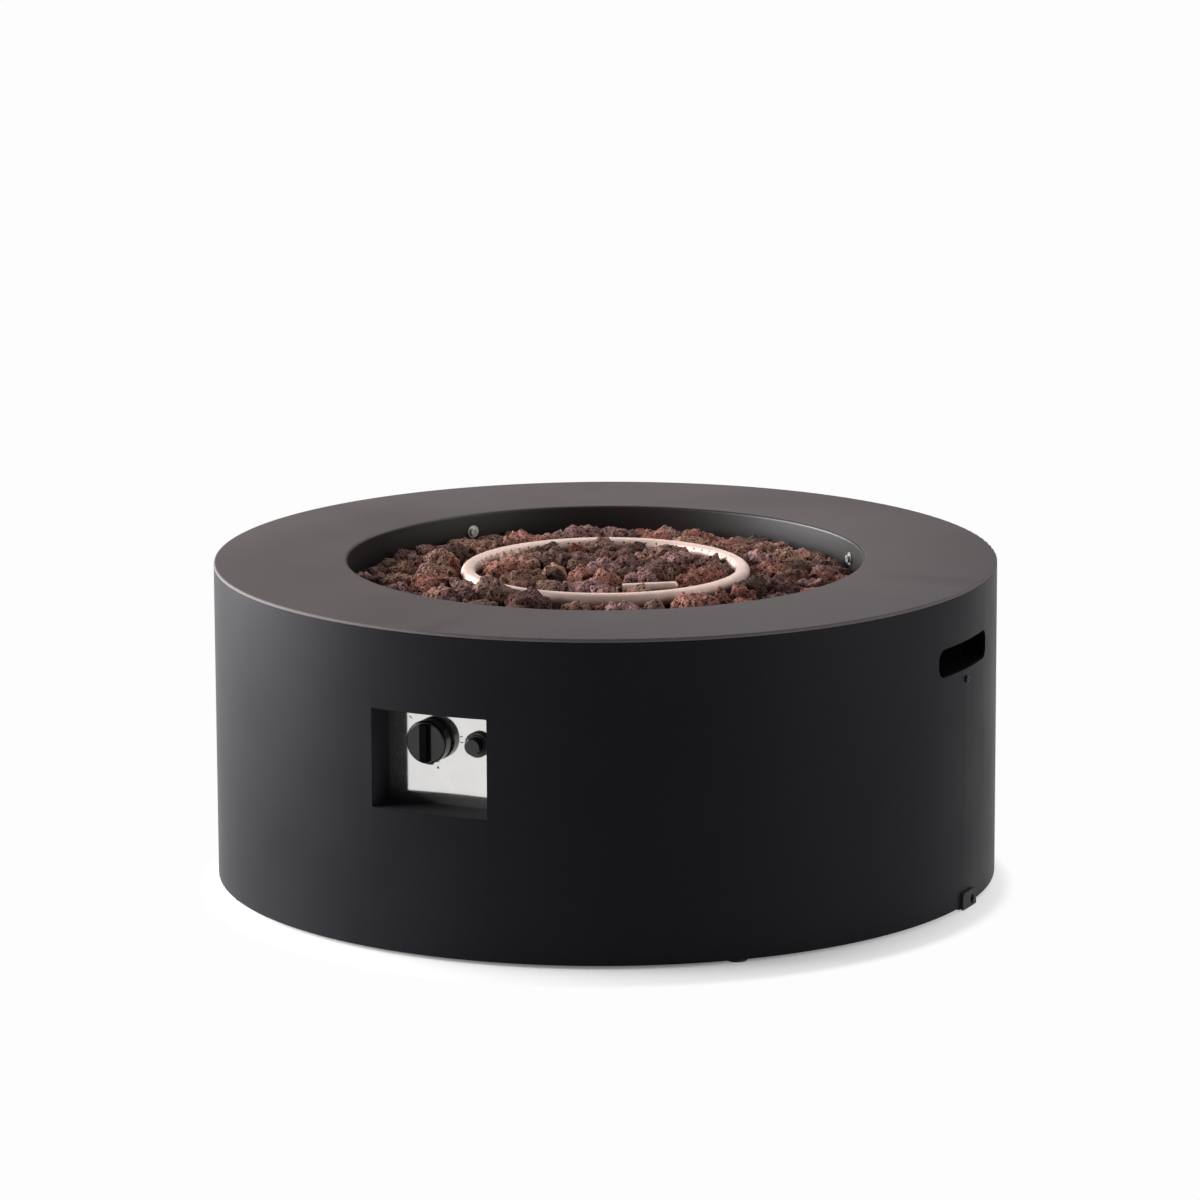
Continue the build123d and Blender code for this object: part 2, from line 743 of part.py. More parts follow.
# Gas inlet under the valve: hexagon and flare nipple that take the hose from below
with BuildPart() as gas_inlet:
    with BuildSketch(Plane.XY.offset(valve_bottom)):
        with Locations((inlet_x, inlet_y)):
            hexagon(inlet_flats)
    extrude(amount=-inlet_hex)
    with BuildSketch(Plane.XY.offset(valve_bottom - inlet_hex)):
        with Locations((inlet_x, inlet_y)):
            Circle(inlet_radius)
    extrude(amount=-inlet_length)
    with BuildSketch(Plane.XY.offset(valve_bottom)):
        with Locations((inlet_x, inlet_y)):
            Circle(inlet_bore)
    extrude(amount=-inlet_hex - inlet_length, mode=Mode.SUBTRACT)
gas_inlet.part.label = "gas_inlet"
export_step(gas_inlet.part, "parts/gas_inlet.step")

# Nut that holds the flame probe's capillary to the valve
with BuildPart() as probe_nut:
    with BuildSketch(front_plane(valve_back, knob_x + probe_nut_shift, knob_z)):
        hexagon(probe_nut_flats)
        Circle(capillary_radius + thread_gap, mode=Mode.SUBTRACT)
    extrude(amount=-probe_nut_height)
probe_nut.part.label = "probe_nut"
export_step(probe_nut.part, "parts/probe_nut.step")

# Igniter barrel: neck through the panel, and a barrel behind it that holds the battery
with BuildPart() as igniter_barrel:
    with BuildSketch(front_plane(panel_back, igniter_x, knob_z)):
        Circle(barrel_radius)
    extrude(amount=panel_back - barrel_back)
    with BuildSketch(front_plane(panel_back, igniter_x, knob_z)):
        Circle(neck_radius)
    extrude(amount=panel_sheet + neck_proud)
    with BuildSketch(front_plane(battery_back, igniter_x, knob_z)):
        Circle(bore_radius)
    extrude(amount=battery_back - panel_front + neck_proud, mode=Mode.SUBTRACT)
igniter_barrel.part.label = "igniter_barrel"
export_step(igniter_barrel.part, "parts/igniter_barrel.step")

# Collar that clamps the igniter to the panel, with finger grooves
with BuildPart() as igniter_collar:
    with BuildSketch(front_plane(panel_front, igniter_x, knob_z)):
        Circle(collar_radius)
        Circle(neck_radius + thread_gap, mode=Mode.SUBTRACT)
        with PolarLocations(collar_radius, collar_grooves):
            Circle(groove_radius, mode=Mode.SUBTRACT)
    extrude(amount=collar_height)
igniter_collar.part.label = "igniter_collar"
export_step(igniter_collar.part, "parts/igniter_collar.step")

# Igniter button
with BuildPart() as igniter_button:
    with BuildSketch(front_plane(button_back, igniter_x, knob_z)):
        Circle(button_radius)
    extrude(amount=button_length)
    fillet(igniter_button.edges().group_by(Axis.Y)[0], button_edge)
igniter_button.part.label = "igniter_button"
export_step(igniter_button.part, "parts/igniter_button.step")

# Return spring of the button, as the sleeve that its coils fill
with BuildPart() as igniter_spring:
    with BuildSketch(front_plane(button_back, igniter_x, knob_z)):
        Circle(button_spring_radius)
        Circle(button_spring_radius - spring_wire, mode=Mode.SUBTRACT)
    extrude(amount=-button_spring_length)
igniter_spring.part.label = "igniter_spring"
export_step(igniter_spring.part, "parts/igniter_spring.step")

# Battery in the igniter barrel
with BuildPart() as battery:
    with BuildSketch(front_plane(battery_front, igniter_x, knob_z)):
        Circle(battery_radius)
    extrude(amount=-battery_length)
battery.part.label = "battery"
export_step(battery.part, "parts/battery.step")

# Burner pan: pressed steel dish screwed round the lip's skirt
with BuildPart() as burner_pan:
    with BuildSketch(Plane.XZ):
        with BuildLine():
            FilletPolyline((0, pan_floor - half_sheet),
                           (pan_inner + half_sheet, pan_floor - half_sheet),
                           (pan_inner + half_sheet, overall_height - pan_rim_drop),
                           radius=(pan_corner,))
        trace(line_width=sheet)
    revolve(axis=Axis.Z)
    with BuildSketch(Plane.XY.offset(pan_floor)):
        with Locations((0, -ring_radius)):
            Circle(tube_radius + fit_gap)
        with Locations(electrode_place):
            Circle(insulator_radius + thread_gap)
        with Locations(probe_place):
            Circle(probe_radius + thread_gap)
        with PolarLocations(drain_circle, drain_count, start_angle=180 / drain_count):
            Circle(drain_radius)
    extrude(amount=-2 * sheet, mode=Mode.SUBTRACT)
    for azimuth in pan_screw_azimuths:
        with BuildSketch(radial_plane(pan_inner - overrun, azimuth, pan_screw_z)):
            Circle(pan_screw_radius + thread_gap)
        extrude(amount=2 * overrun, mode=Mode.SUBTRACT)
burner_pan.part.label = "burner_pan"
export_step(burner_pan.part, "parts/burner_pan.step")

# Pan screws with cross-slotted heads inside the pan, their washers, and nuts outside
washer_face = skirt_inner - seat_sagitta(skirt_inner, washer_radius) - contact_gap
washer_back = washer_face - washer_height
pan_nut_face = pan_outer + contact_gap
with BuildPart() as pan_screws:
    for azimuth in pan_screw_azimuths:
        with BuildSketch(radial_plane(washer_back, azimuth, pan_screw_z)):
            Circle(pan_head_radius)
        extrude(amount=-pan_head_height)
        with BuildSketch(radial_plane(washer_back - pan_head_height, azimuth, pan_screw_z)):
            Rectangle(cross_length, cross_width)
            Rectangle(cross_width, cross_length)
        extrude(amount=cross_depth, mode=Mode.SUBTRACT)
        with BuildSketch(radial_plane(washer_back, azimuth, pan_screw_z)):
            Circle(pan_screw_radius)
        extrude(amount=pan_nut_face + pan_nut_height - washer_back)
pan_screws.part.label = "pan_screws"
export_step(pan_screws.part, "parts/pan_screws.step")

with BuildPart() as pan_washers:
    for azimuth in pan_screw_azimuths:
        with BuildSketch(radial_plane(washer_back, azimuth, pan_screw_z)):
            Circle(washer_radius)
            Circle(pan_screw_radius + thread_gap, mode=Mode.SUBTRACT)
        extrude(amount=washer_height)
pan_washers.part.label = "pan_washers"
export_step(pan_washers.part, "parts/pan_washers.step")

with BuildPart() as pan_nuts:
    for azimuth in pan_screw_azimuths:
        with BuildSketch(radial_plane(pan_nut_face, azimuth, pan_screw_z)):
            hexagon(pan_nut_flats)
            Circle(pan_screw_radius + thread_gap, mode=Mode.SUBTRACT)
        extrude(amount=pan_nut_height)
pan_nuts.part.label = "pan_nuts"
export_step(pan_nuts.part, "parts/pan_nuts.step")

# Ring burner: hollow ring with a row of ports, and an inlet stub down through the pan
port_planes = []
for step in range(port_count):
    inward = math.radians((step + 0.5) * 360 / port_count)
    lift = math.radians(port_tilt)
    port_planes.append(Plane(
        origin=(ring_radius * math.cos(inward), ring_radius * math.sin(inward), ring_z),
        z_dir=(-math.cos(inward) * math.cos(lift), -math.sin(inward) * math.cos(lift), math.sin(lift))))
with BuildPart() as ring_burner:
    with BuildSketch(Plane.XZ):
        with Locations((ring_radius, ring_z)):
            Circle(tube_radius)
    revolve(axis=Axis.Z)
    with BuildSketch(Plane.XY.offset(stub_bottom)):
        with Locations((0, -ring_radius)):
            Circle(tube_radius)
    extrude(amount=ring_z - stub_bottom)
    with BuildSketch(Plane.XY.offset(pan_floor)):
        with Locations((0, -ring_radius)):
            Circle(stub_collar_radius)
    extrude(amount=stub_collar_height)
    with BuildSketch(Plane.XZ):
        with Locations((ring_radius, ring_z)):
            Circle(tube_radius - tube_wall)
    revolve(axis=Axis.Z, mode=Mode.SUBTRACT)
    with BuildSketch(Plane.XY.offset(stub_bottom)):
        with Locations((0, -ring_radius)):
            Circle(tube_radius - tube_wall)
    extrude(amount=ring_z - stub_bottom, mode=Mode.SUBTRACT)
    with Locations(*port_planes):
        Cylinder(port_radius, 2 * tube_radius, align=(Align.CENTER, Align.CENTER, Align.MIN),
                 mode=Mode.SUBTRACT)
ring_burner.part.label = "ring_burner"
export_step(ring_burner.part, "parts/ring_burner.step")

# Legs that carry the ring on the pan's floor
with BuildPart() as burner_legs:
    for azimuth in leg_azimuths:
        with BuildSketch(side_plane(azimuth)):
            with BuildLine():
                Polyline((ring_radius - leg_foot, pan_floor + leg_sheet / 2),
                         (ring_radius, pan_floor + leg_sheet / 2),
                         (ring_radius, ring_under - contact_gap))
            trace(line_width=leg_sheet)
        extrude(amount=leg_width / 2, both=True)
burner_legs.part.label = "burner_legs"
export_step(burner_legs.part, "parts/burner_legs.step")

# Lock nut under the pan
with BuildPart() as inlet_locknut:
    with BuildSketch(Plane.XY.offset(pan_under)):
        with Locations((0, -ring_radius)):
            hexagon(locknut_flats)
            Circle(tube_radius + thread_gap, mode=Mode.SUBTRACT)
    extrude(amount=-locknut_height)
inlet_locknut.part.label = "inlet_locknut"
export_step(inlet_locknut.part, "parts/inlet_locknut.step")

# Air mixer: sleeve on the stub with a throat, air slots and a seat for the jet
with BuildPart() as air_mixer:
    with BuildSketch(Plane.XY.offset(mixer_bottom)):
        with Locations((0, -ring_radius)):
            Circle(mixer_radius)
    extrude(amount=mixer_length)
    with BuildSketch(Plane.XY.offset(stub_bottom)):
        with Locations((0, -ring_radius)):
            Circle(tube_radius + thread_gap)
    extrude(amount=stub_engagement, mode=Mode.SUBTRACT)
    with BuildSketch(Plane.XY.offset(mixer_bottom + mixer_base)):
        with Locations((0, -ring_radius)):
            Circle(mixer_throat)
    extrude(amount=mixer_length, mode=Mode.SUBTRACT)
    with BuildSketch(Plane.XY.offset(mixer_bottom)):
        with Locations((0, -ring_radius)):
            Circle(jet_radius + thread_gap)
    extrude(amount=mixer_base, mode=Mode.SUBTRACT)
    for facing in ((1, 0, 0), (0, 1, 0)):
        with BuildSketch(Plane(origin=(0, -ring_radius, mixer_slot_z), x_dir=(0, 0, 1), z_dir=facing)):
            SlotOverall(mixer_slot_height, mixer_slot_width)
        extrude(amount=mixer_radius, both=True, mode=Mode.SUBTRACT)
air_mixer.part.label = "air_mixer"
export_step(air_mixer.part, "parts/air_mixer.step")

# Gas jet: hexagon with a tip in the mixer and a nipple for the supply tube
jet_top = mixer_bottom + mixer_base + jet_rise
with BuildPart() as gas_jet:
    with BuildSketch(Plane.XY.offset(mixer_bottom)):
        with Locations((0, -ring_radius)):
            hexagon(jet_flats)
    extrude(amount=-jet_hex)
    with BuildSketch(Plane.XY.offset(mixer_bottom)):
        with Locations((0, -ring_radius)):
            Circle(jet_radius)
    extrude(amount=jet_top - mixer_bottom)
    with BuildSketch(Plane.XY.offset(jet_hex_bottom)):
        with Locations((0, -ring_radius)):
            Circle(jet_nipple_radius)
    extrude(amount=-jet_nipple_length)
    with BuildSketch(Plane.XY.offset(jet_end)):
        with Locations((0, -ring_radius)):
            Circle(jet_bore)
    extrude(amount=jet_top - jet_tip - jet_end, mode=Mode.SUBTRACT)
    with BuildSketch(Plane.XY.offset(jet_end)):
        with Locations((0, -ring_radius)):
            Circle(jet_orifice)
    extrude(amount=jet_top - jet_end, mode=Mode.SUBTRACT)
gas_jet.part.label = "gas_jet"
export_step(gas_jet.part, "parts/gas_jet.step")

# Supply tube from the valve's outlet down, back and up to the jet
supply_points = ((outlet_x, outlet_y, outlet_end),
                 (outlet_x, outlet_y, supply_low_z),
                 (0, -ring_radius, supply_low_z),
                 (0, -ring_radius, jet_end))
with BuildPart() as supply_tube:
    with BuildLine() as supply_path:
        FilletPolyline(*supply_points, radius=supply_bend)
    with BuildSketch(Plane.XY.offset(outlet_end)):
        with Locations((outlet_x, outlet_y)):
            Circle(supply_radius)
            Circle(supply_radius - supply_wall, mode=Mode.SUBTRACT)
    sweep(path=supply_path.wire())
supply_tube.part.label = "supply_tube"
export_step(supply_tube.part, "parts/supply_tube.step")

# Union nuts at both ends of the supply tube
nut_overlap = tube_nut_height / 2
with BuildPart() as tube_nuts:
    for place, joint_z, nipple in (((outlet_x, outlet_y), outlet_end, outlet_radius),
                                   ((0, -ring_radius), jet_end, jet_nipple_radius)):
        with BuildSketch(Plane.XY.offset(joint_z - nut_overlap)):
            with Locations(place):
                hexagon(tube_nut_flats)
                Circle(supply_radius + thread_gap, mode=Mode.SUBTRACT)
        extrude(amount=tube_nut_height)
        with BuildSketch(Plane.XY.offset(joint_z)):
            with Locations(place):
                Circle(nipple + thread_gap)
        extrude(amount=tube_nut_height, mode=Mode.SUBTRACT)
tube_nuts.part.label = "tube_nuts"
export_step(tube_nuts.part, "parts/tube_nuts.step")

# Ignition hood: short tube with a round closed end, beside the spark
hood_plane = Plane(origin=(*hood_start, hood_z),
                   x_dir=(-hood_direction[1], hood_direction[0], 0),
                   z_dir=(*hood_direction, 0))
with BuildPart() as ignition_hood:
    with BuildSketch(hood_plane):
        Circle(hood_radius)
    extrude(amount=hood_length - hood_radius)
    with Locations(hood_plane.offset(hood_length - hood_radius)):
        Sphere(hood_radius)
    with BuildSketch(hood_plane):
        Circle(hood_radius - hood_wall)
    extrude(amount=hood_length - hood_radius, mode=Mode.SUBTRACT)
ignition_hood.part.label = "ignition_hood"
export_step(ignition_hood.part, "parts/ignition_hood.step")

# Strap that stands on the pan's floor and carries the hood
strap_distance = strap_place_share * hood_length
strap_plane = Plane(origin=(hood_start[0] + strap_distance * hood_direction[0],
                            hood_start[1] + strap_distance * hood_direction[1], 0),
                    x_dir=(-hood_direction[1], hood_direction[0], 0),
                    z_dir=(*hood_direction, 0))
with BuildPart() as hood_strap:
    with BuildSketch(strap_plane):
        with BuildLine():
            Polyline((0, hood_z - hood_radius - contact_gap),
                     (0, pan_floor + strap_sheet / 2),
                     (strap_foot, pan_floor + strap_sheet / 2))
        trace(line_width=strap_sheet)
    extrude(amount=strap_width / 2, both=True)
hood_strap.part.label = "hood_strap"
export_step(hood_strap.part, "parts/hood_strap.step")

# Spark electrode: steel rod in a ceramic insulator that stands in the pan's floor
with BuildPart() as electrode_insulator:
    with BuildSketch(Plane.XY.offset(insulator_bottom)):
        with Locations(electrode_place):
            Circle(insulator_radius)
    extrude(amount=pan_floor + insulator_top - insulator_bottom)
    with BuildSketch(Plane.XY.offset(pan_floor)):
        with Locations(electrode_place):
            Circle(insulator_collar)
    extrude(amount=collar_step)
    with BuildSketch(Plane.XY.offset(insulator_bottom)):
        with Locations(electrode_place):
            Circle(electrode_radius + contact_gap)
    extrude(amount=pan_floor + insulator_top - insulator_bottom, mode=Mode.SUBTRACT)
electrode_insulator.part.label = "electrode_insulator"
export_step(electrode_insulator.part, "parts/electrode_insulator.step")

with BuildPart() as spark_electrode:
    with BuildSketch(Plane.XY.offset(insulator_bottom - rod_tail)):
        with Locations(electrode_place):
            Circle(electrode_radius)
    extrude(amount=electrode_top - insulator_bottom + rod_tail)
spark_electrode.part.label = "spark_electrode"
export_step(spark_electrode.part, "parts/spark_electrode.step")

# Flame probe beside the ring
with BuildPart() as flame_probe:
    with BuildSketch(Plane.XY.offset(probe_bottom)):
        with Locations(probe_place):
            Circle(probe_radius)
    extrude(amount=probe_top - probe_bottom)
    fillet(flame_probe.edges().group_by(Axis.Z)[-1], probe_radius / 2)
    with BuildSketch(Plane.XY.offset(pan_floor)):
        with Locations(probe_place):
            Circle(insulator_collar)
    extrude(amount=collar_step)
flame_probe.part.label = "flame_probe"
export_step(flame_probe.part, "parts/flame_probe.step")

# Push-on clips under the pan for the electrode and the probe
with BuildPart() as push_clips:
    with BuildSketch(Plane.XY.offset(pan_under)):
        with Locations(electrode_place, probe_place):
            Circle(clip_radius)
        with Locations(electrode_place):
            Circle(insulator_radius + thread_gap, mode=Mode.SUBTRACT)
        with Locations(probe_place):
            Circle(probe_radius + thread_gap, mode=Mode.SUBTRACT)
    extrude(amount=-clip_height)
push_clips.part.label = "push_clips"
export_step(push_clips.part, "parts/push_clips.step")

# Spark lead from the back of the igniter, sagging under the pan, up to the electrode's rod
spark_points = lead_points((igniter_x, barrel_back, knob_z), (*electrode_place, insulator_bottom - rod_tail),
                           spark_way_shares, spark_sags, spark_rise)
with BuildPart() as spark_lead:
    with BuildLine() as spark_path:
        FilletPolyline(*spark_points, radius=bend_radii(spark_points))
    with BuildSketch(front_plane(barrel_back, igniter_x, knob_z)):
        Circle(lead_radius)
    sweep(path=spark_path.wire())
spark_lead.part.label = "spark_lead"
export_step(spark_lead.part, "parts/spark_lead.step")

# Capillary lead from the valve to the flame probe
capillary_x = knob_x + probe_nut_shift
capillary_points = lead_points((capillary_x, valve_back, knob_z), (*probe_place, probe_bottom),
                               capillary_way_shares, capillary_sags, capillary_rise)
with BuildPart() as capillary_lead:
    with BuildLine() as capillary_path:
        FilletPolyline(*capillary_points, radius=bend_radii(capillary_points))
    with BuildSketch(front_plane(valve_back, capillary_x, knob_z)):
        Circle(capillary_radius)
    sweep(path=capillary_path.wire())
capillary_lead.part.label = "capillary_lead"
export_step(capillary_lead.part, "parts/capillary_lead.step")

for name, points, path in (("spark lead", spark_points, spark_path),
                           ("capillary lead", capillary_points, capillary_path)):
    print(name, "length", round(path.wire().length, 1),
          "bend radii", [round(radius, 1) for radius in bend_radii(points)])

# Lava rock: stones dropped one by one to the lowest free place, then cut flat where they meet.
# Everything that stands in the pan is a post: a segment with a thickness. So are the lines along
# which the hood and the pan's screws are seen from the front, which the rock leaves free.
hood_end = (hood_start[0] + hood_length * hood_direction[0], hood_start[1] + hood_length * hood_direction[1])
strap_low = tuple(strap_plane.from_local_coords((0, pan_floor, 0)))
strap_high = tuple(strap_plane.from_local_coords((0, hood_z, 0)))
strap_toe = tuple(strap_plane.from_local_coords((strap_foot, pan_floor, 0)))
posts = [((*hood_start, hood_z), (*hood_end, hood_z), hood_radius),
         (strap_low, strap_high, strap_width / 2),
         (strap_low, strap_toe, strap_width / 2 + strap_sheet),
         ((0, -ring_radius, pan_floor), (0, -ring_radius, ring_z), stub_collar_radius),
         ((*electrode_place, pan_floor), (*electrode_place, electrode_top), insulator_collar),
         ((*probe_place, pan_floor), (*probe_place, probe_top), insulator_collar)]
for azimuth in leg_azimuths:
    leg_low = polar(ring_radius, azimuth, pan_floor)
    posts.append((leg_low, polar(ring_radius, azimuth, ring_z), leg_width / 2 + leg_sheet))
    posts.append((leg_low, polar(ring_radius - leg_foot, azimuth, pan_floor), leg_width / 2 + leg_sheet))
view = view_length * np.array(view_direction)
for share in hood_view_shares:
    start = np.array((*hood_start, hood_z)) + share * hood_length * np.array((*hood_direction, 0))
    posts.append((start, start + view, hood_radius))
for azimuth in pan_screw_azimuths:
    head = polar(washer_back - pan_head_height, azimuth, pan_screw_z)
    posts.append((head, polar(skirt_inner, azimuth, pan_screw_z), washer_radius))
    posts.append((head, np.array(head) + view, washer_radius))
stone_span = stone_max * max(stone_swell_shares)
wall_limit = skirt_inner - seat_sagitta(skirt_inner, stone_span) - stone_gap
ring_margin = tube_radius + seat_sagitta(ring_radius - tube_radius, stone_span) + stone_gap
corner_radius = pan_corner - half_sheet
corner_chord = corner_radius / math.sqrt(2) - stone_gap


def nearest_on_post(points, start, end):
    """Nearest points of a segment to each of the points."""
    start = np.array(start)
    along = np.array(end) - start
    share = np.clip((points - start) @ along / (along @ along), 0, 1)
    return start + share[:, None] * along


def nearest_on_ring(points):
    """Nearest points of the ring's centre circle to each of the points."""
    flat = points * np.array((1, 1, 0))
    across = np.linalg.norm(flat, axis=1, keepdims=True)
    return ring_radius * flat / across + np.array((0, 0, ring_z))


def mound_share(points):
    """How much each of the points belongs to the mound that covers a part of the ring, from 0 to 1."""
    away = np.linalg.norm(points[:, :2] - np.array(mound_place), axis=1)
    return np.exp(-(away / mound_reach) ** 2)


def heap_top(points):
    """Height that the rock reaches over each of the points: level inside, falling towards the wall."""
    across = np.linalg.norm(points[:, :2], axis=1)
    share = np.clip((across - heap_radius) / (wall_limit - heap_radius), 0, 1)
    return stone_top - heap_fall * share * (1 - mound_share(points))


def settle_stones(rng):
    """Centres and radii of balls, each dropped to the lowest of many places that keeps clear."""
    centres = np.empty((0, 3))
    radii = np.empty(0)
    for radius in rng.uniform(stone_min, stone_max, stone_draws):
        spread = np.sqrt(rng.random(stone_places)) * (wall_limit - radius)
        turn = rng.random(stone_places) * 2 * math.pi
        flat = np.column_stack([spread * np.cos(turn), spread * np.sin(turn)])
        across = np.linalg.norm(flat[:, None] - centres[None, :, :2], axis=2)
        reach = radii + radius
        climb = np.sqrt(np.maximum(reach ** 2 - across ** 2, 0))
        heights = np.where(across < reach, centres[:, 2] + climb, 0).max(axis=1, initial=0)
        heights = np.maximum(heights, pan_floor + radius + contact_gap)
        points = np.column_stack([flat, heights])
        free = heights + radius < heap_top(points)
        free &= np.linalg.norm(points - nearest_on_ring(points), axis=1) > radius + ring_margin
        for start, end, thickness in posts:
            gap = np.linalg.norm(points - nearest_on_post(points, start, end), axis=1)
            free &= gap > radius + thickness + stone_gap
        if free.any():
            lowest = np.argmin(np.where(free, heights, np.inf))
            centres = np.vstack([centres, points[lowest]])
            radii = np.append(radii, radius)
    return centres, radii


def stone_planes(index, centres, radii, rng):
    """Outward normals and distances of the flats that bound one stone, seen from its centre."""
    centre = centres[index]
    radius = radii[index]
    gaps = centres - centre
    apart = np.linalg.norm(gaps, axis=1)
    reach = radii + radius
    near = (apart > 0) & (apart < stone_reach_share * reach)
    meet = gaps[near] / apart[near][:, None]
    meet_distance = apart[near] * radius / reach[near] - stone_gap / 2
    across = math.hypot(centre[0], centre[1])
    outward = np.array((centre[0], centre[1], 0)) / across
    down = np.array((0, 0, -1.0))
    corner = (outward + down) / math.sqrt(2)
    corner_centre = outward * (pan_inner - corner_radius) - down * (pan_floor + corner_radius)
    fences = [(down, centre[2] - pan_floor - contact_gap),
              (outward, wall_limit - across),
              (corner, corner_chord + corner @ (corner_centre - centre))]
    obstacles = [(nearest_on_ring(centre[None])[0], ring_margin)]
    obstacles += [(nearest_on_post(centre[None], start, end)[0], thickness + stone_gap)
                  for start, end, thickness in posts]
    for place, thickness in obstacles:
        distance = np.linalg.norm(place - centre)
        fences.append(((place - centre) / distance, distance - thickness))
    touching = meet_distance <= radius
    contacts = np.vstack([meet[touching] * meet_distance[touching][:, None], down * fences[0][1]])
    contacts = contacts[np.linalg.norm(contacts, axis=1) <= radius + contact_gap]
    turn = np.linalg.qr(rng.normal(size=(3, 3)))[0]
    level = 1 - 2 * (np.arange(stone_facets) + 0.5) / stone_facets
    spin = np.arange(stone_facets) * math.pi * (3 - math.sqrt(5))
    ring = np.sqrt(1 - level ** 2)
    facets = np.column_stack([ring * np.cos(spin), ring * np.sin(spin), level]) @ turn
    scatter = rng.uniform(0, stone_scatter) * (1 - mound_share(centre[None])[0])
    top = max(radius, heap_top(centre[None])[0] - scatter - centre[2])
    lift = min(top / radius, stone_lift_share)
    facets[facets[:, 2] > 0, 2] /= lift
    slope = np.linalg.norm(facets, axis=1)
    facets = facets / slope[:, None]
    facet_distance = radius * rng.uniform(*stone_swell_shares, stone_facets) / slope
    facet_distance = np.maximum(facet_distance, (facets @ contacts.T).max(axis=1))
    normals = np.vstack([facets, -down, meet] + [normal for normal, distance in fences])
    distances = np.concatenate([facet_distance, [top], meet_distance, [distance for normal, distance in fences]])
    useful = distances < stone_reach_share * radius
    useful[:stone_facets + 1] = True
    return normals[useful], distances[useful]


def corner_points(normals, distances):
    """Corners of the block inside the flats: crossings of three that no other flat cuts off."""
    flats = np.arange(len(normals))
    a, b, c = np.meshgrid(flats, flats, flats, indexing="ij")
    triples = np.column_stack([a[(a < b) & (b < c)], b[(a < b) & (b < c)], c[(a < b) & (b < c)]])
    sides = normals[triples]
    tiny = 1e-6
    crossing = np.abs(np.linalg.det(sides)) > tiny
    corners = np.linalg.solve(sides[crossing], distances[triples[crossing]][..., None])[..., 0]
    inside = (corners @ normals.T <= distances + tiny).all(axis=1)
    return np.unique(np.round(corners[inside], 4), axis=0)


stone_rng = np.random.default_rng(stone_seed)
stone_centres, stone_radii = settle_stones(stone_rng)
stone_colour = stone_rng.integers(len(stone_colours), size=len(stone_radii))
stones = {colour: [] for colour in stone_colours}
for index, centre in enumerate(stone_centres):
    corners = corner_points(*stone_planes(index, stone_centres, stone_radii, stone_rng)) + centre
    stones[stone_colours[stone_colour[index]]].append(ConvexPolyhedron([tuple(point) for point in corners]))
print("stones", len(stone_radii))
for colour in stone_colours:
    with BuildPart() as lava_rocks:
        add(stones[colour])
    lava_rocks.part.label = f"lava_rocks_{colour}"
    export_step(lava_rocks.part, f"parts/lava_rocks_{colour}.step")
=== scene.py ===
import json
import math

import bmesh
import bpy
import numpy as np
from mathutils import Matrix, Vector

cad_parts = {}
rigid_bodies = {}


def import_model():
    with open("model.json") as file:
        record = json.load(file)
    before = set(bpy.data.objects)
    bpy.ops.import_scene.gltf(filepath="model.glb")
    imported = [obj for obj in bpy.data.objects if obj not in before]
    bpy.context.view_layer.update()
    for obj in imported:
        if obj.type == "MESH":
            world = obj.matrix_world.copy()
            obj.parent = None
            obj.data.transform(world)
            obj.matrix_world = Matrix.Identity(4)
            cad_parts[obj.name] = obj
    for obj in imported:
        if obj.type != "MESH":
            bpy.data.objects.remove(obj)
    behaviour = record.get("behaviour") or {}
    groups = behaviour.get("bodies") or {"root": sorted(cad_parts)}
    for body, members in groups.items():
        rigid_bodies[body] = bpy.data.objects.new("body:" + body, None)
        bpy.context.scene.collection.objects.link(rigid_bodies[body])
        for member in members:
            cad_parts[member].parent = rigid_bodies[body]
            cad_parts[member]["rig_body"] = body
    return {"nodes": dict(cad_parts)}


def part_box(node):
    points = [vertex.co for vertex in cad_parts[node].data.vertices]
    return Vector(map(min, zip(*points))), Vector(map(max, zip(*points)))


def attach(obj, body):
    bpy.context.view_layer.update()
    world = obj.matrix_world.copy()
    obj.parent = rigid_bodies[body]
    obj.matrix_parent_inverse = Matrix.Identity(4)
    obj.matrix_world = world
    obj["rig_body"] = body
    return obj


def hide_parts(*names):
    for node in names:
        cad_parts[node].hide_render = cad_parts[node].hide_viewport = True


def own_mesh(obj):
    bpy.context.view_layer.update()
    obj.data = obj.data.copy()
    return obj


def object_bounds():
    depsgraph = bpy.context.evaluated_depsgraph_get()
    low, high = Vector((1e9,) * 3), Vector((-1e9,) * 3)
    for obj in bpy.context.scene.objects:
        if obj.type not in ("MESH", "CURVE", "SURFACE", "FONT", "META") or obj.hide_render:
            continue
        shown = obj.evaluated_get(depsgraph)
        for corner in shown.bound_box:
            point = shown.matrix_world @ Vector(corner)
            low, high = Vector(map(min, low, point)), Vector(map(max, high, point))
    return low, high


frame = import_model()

bl_info = {
    "name": "Propane Fire Pit",
    "version": (1, 0, 0),
    "blender": (4, 5, 0),
    "location": "View3D > Sidebar > Fire Pit",
    "description": "Dresses the fire pit's solids with finishes and porous lava rock, and lights them",
    "category": "Object",
}

CAD_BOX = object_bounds()
MM = 0.001
BUMP_DEPTH = 0.1 * MM
PORE_DEPTH = 1.2 * MM
SENSOR_WIDTH = 36
FLOOR_RADIUS = 30


def linear(hex_colour):
    """Turn an sRGB hex colour into linear red, green and blue."""
    coded = np.array([int(hex_colour[i:i + 2], 16) for i in (1, 3, 5)]) / 255
    return tuple(np.where(coded <= 0.04045, coded / 12.92, ((coded + 0.055) / 1.055) ** 2.4))


def opaque(colour):
    """Give a colour the alpha that a colour socket needs."""
    return (*colour, 1.0)


# Nodes and materials


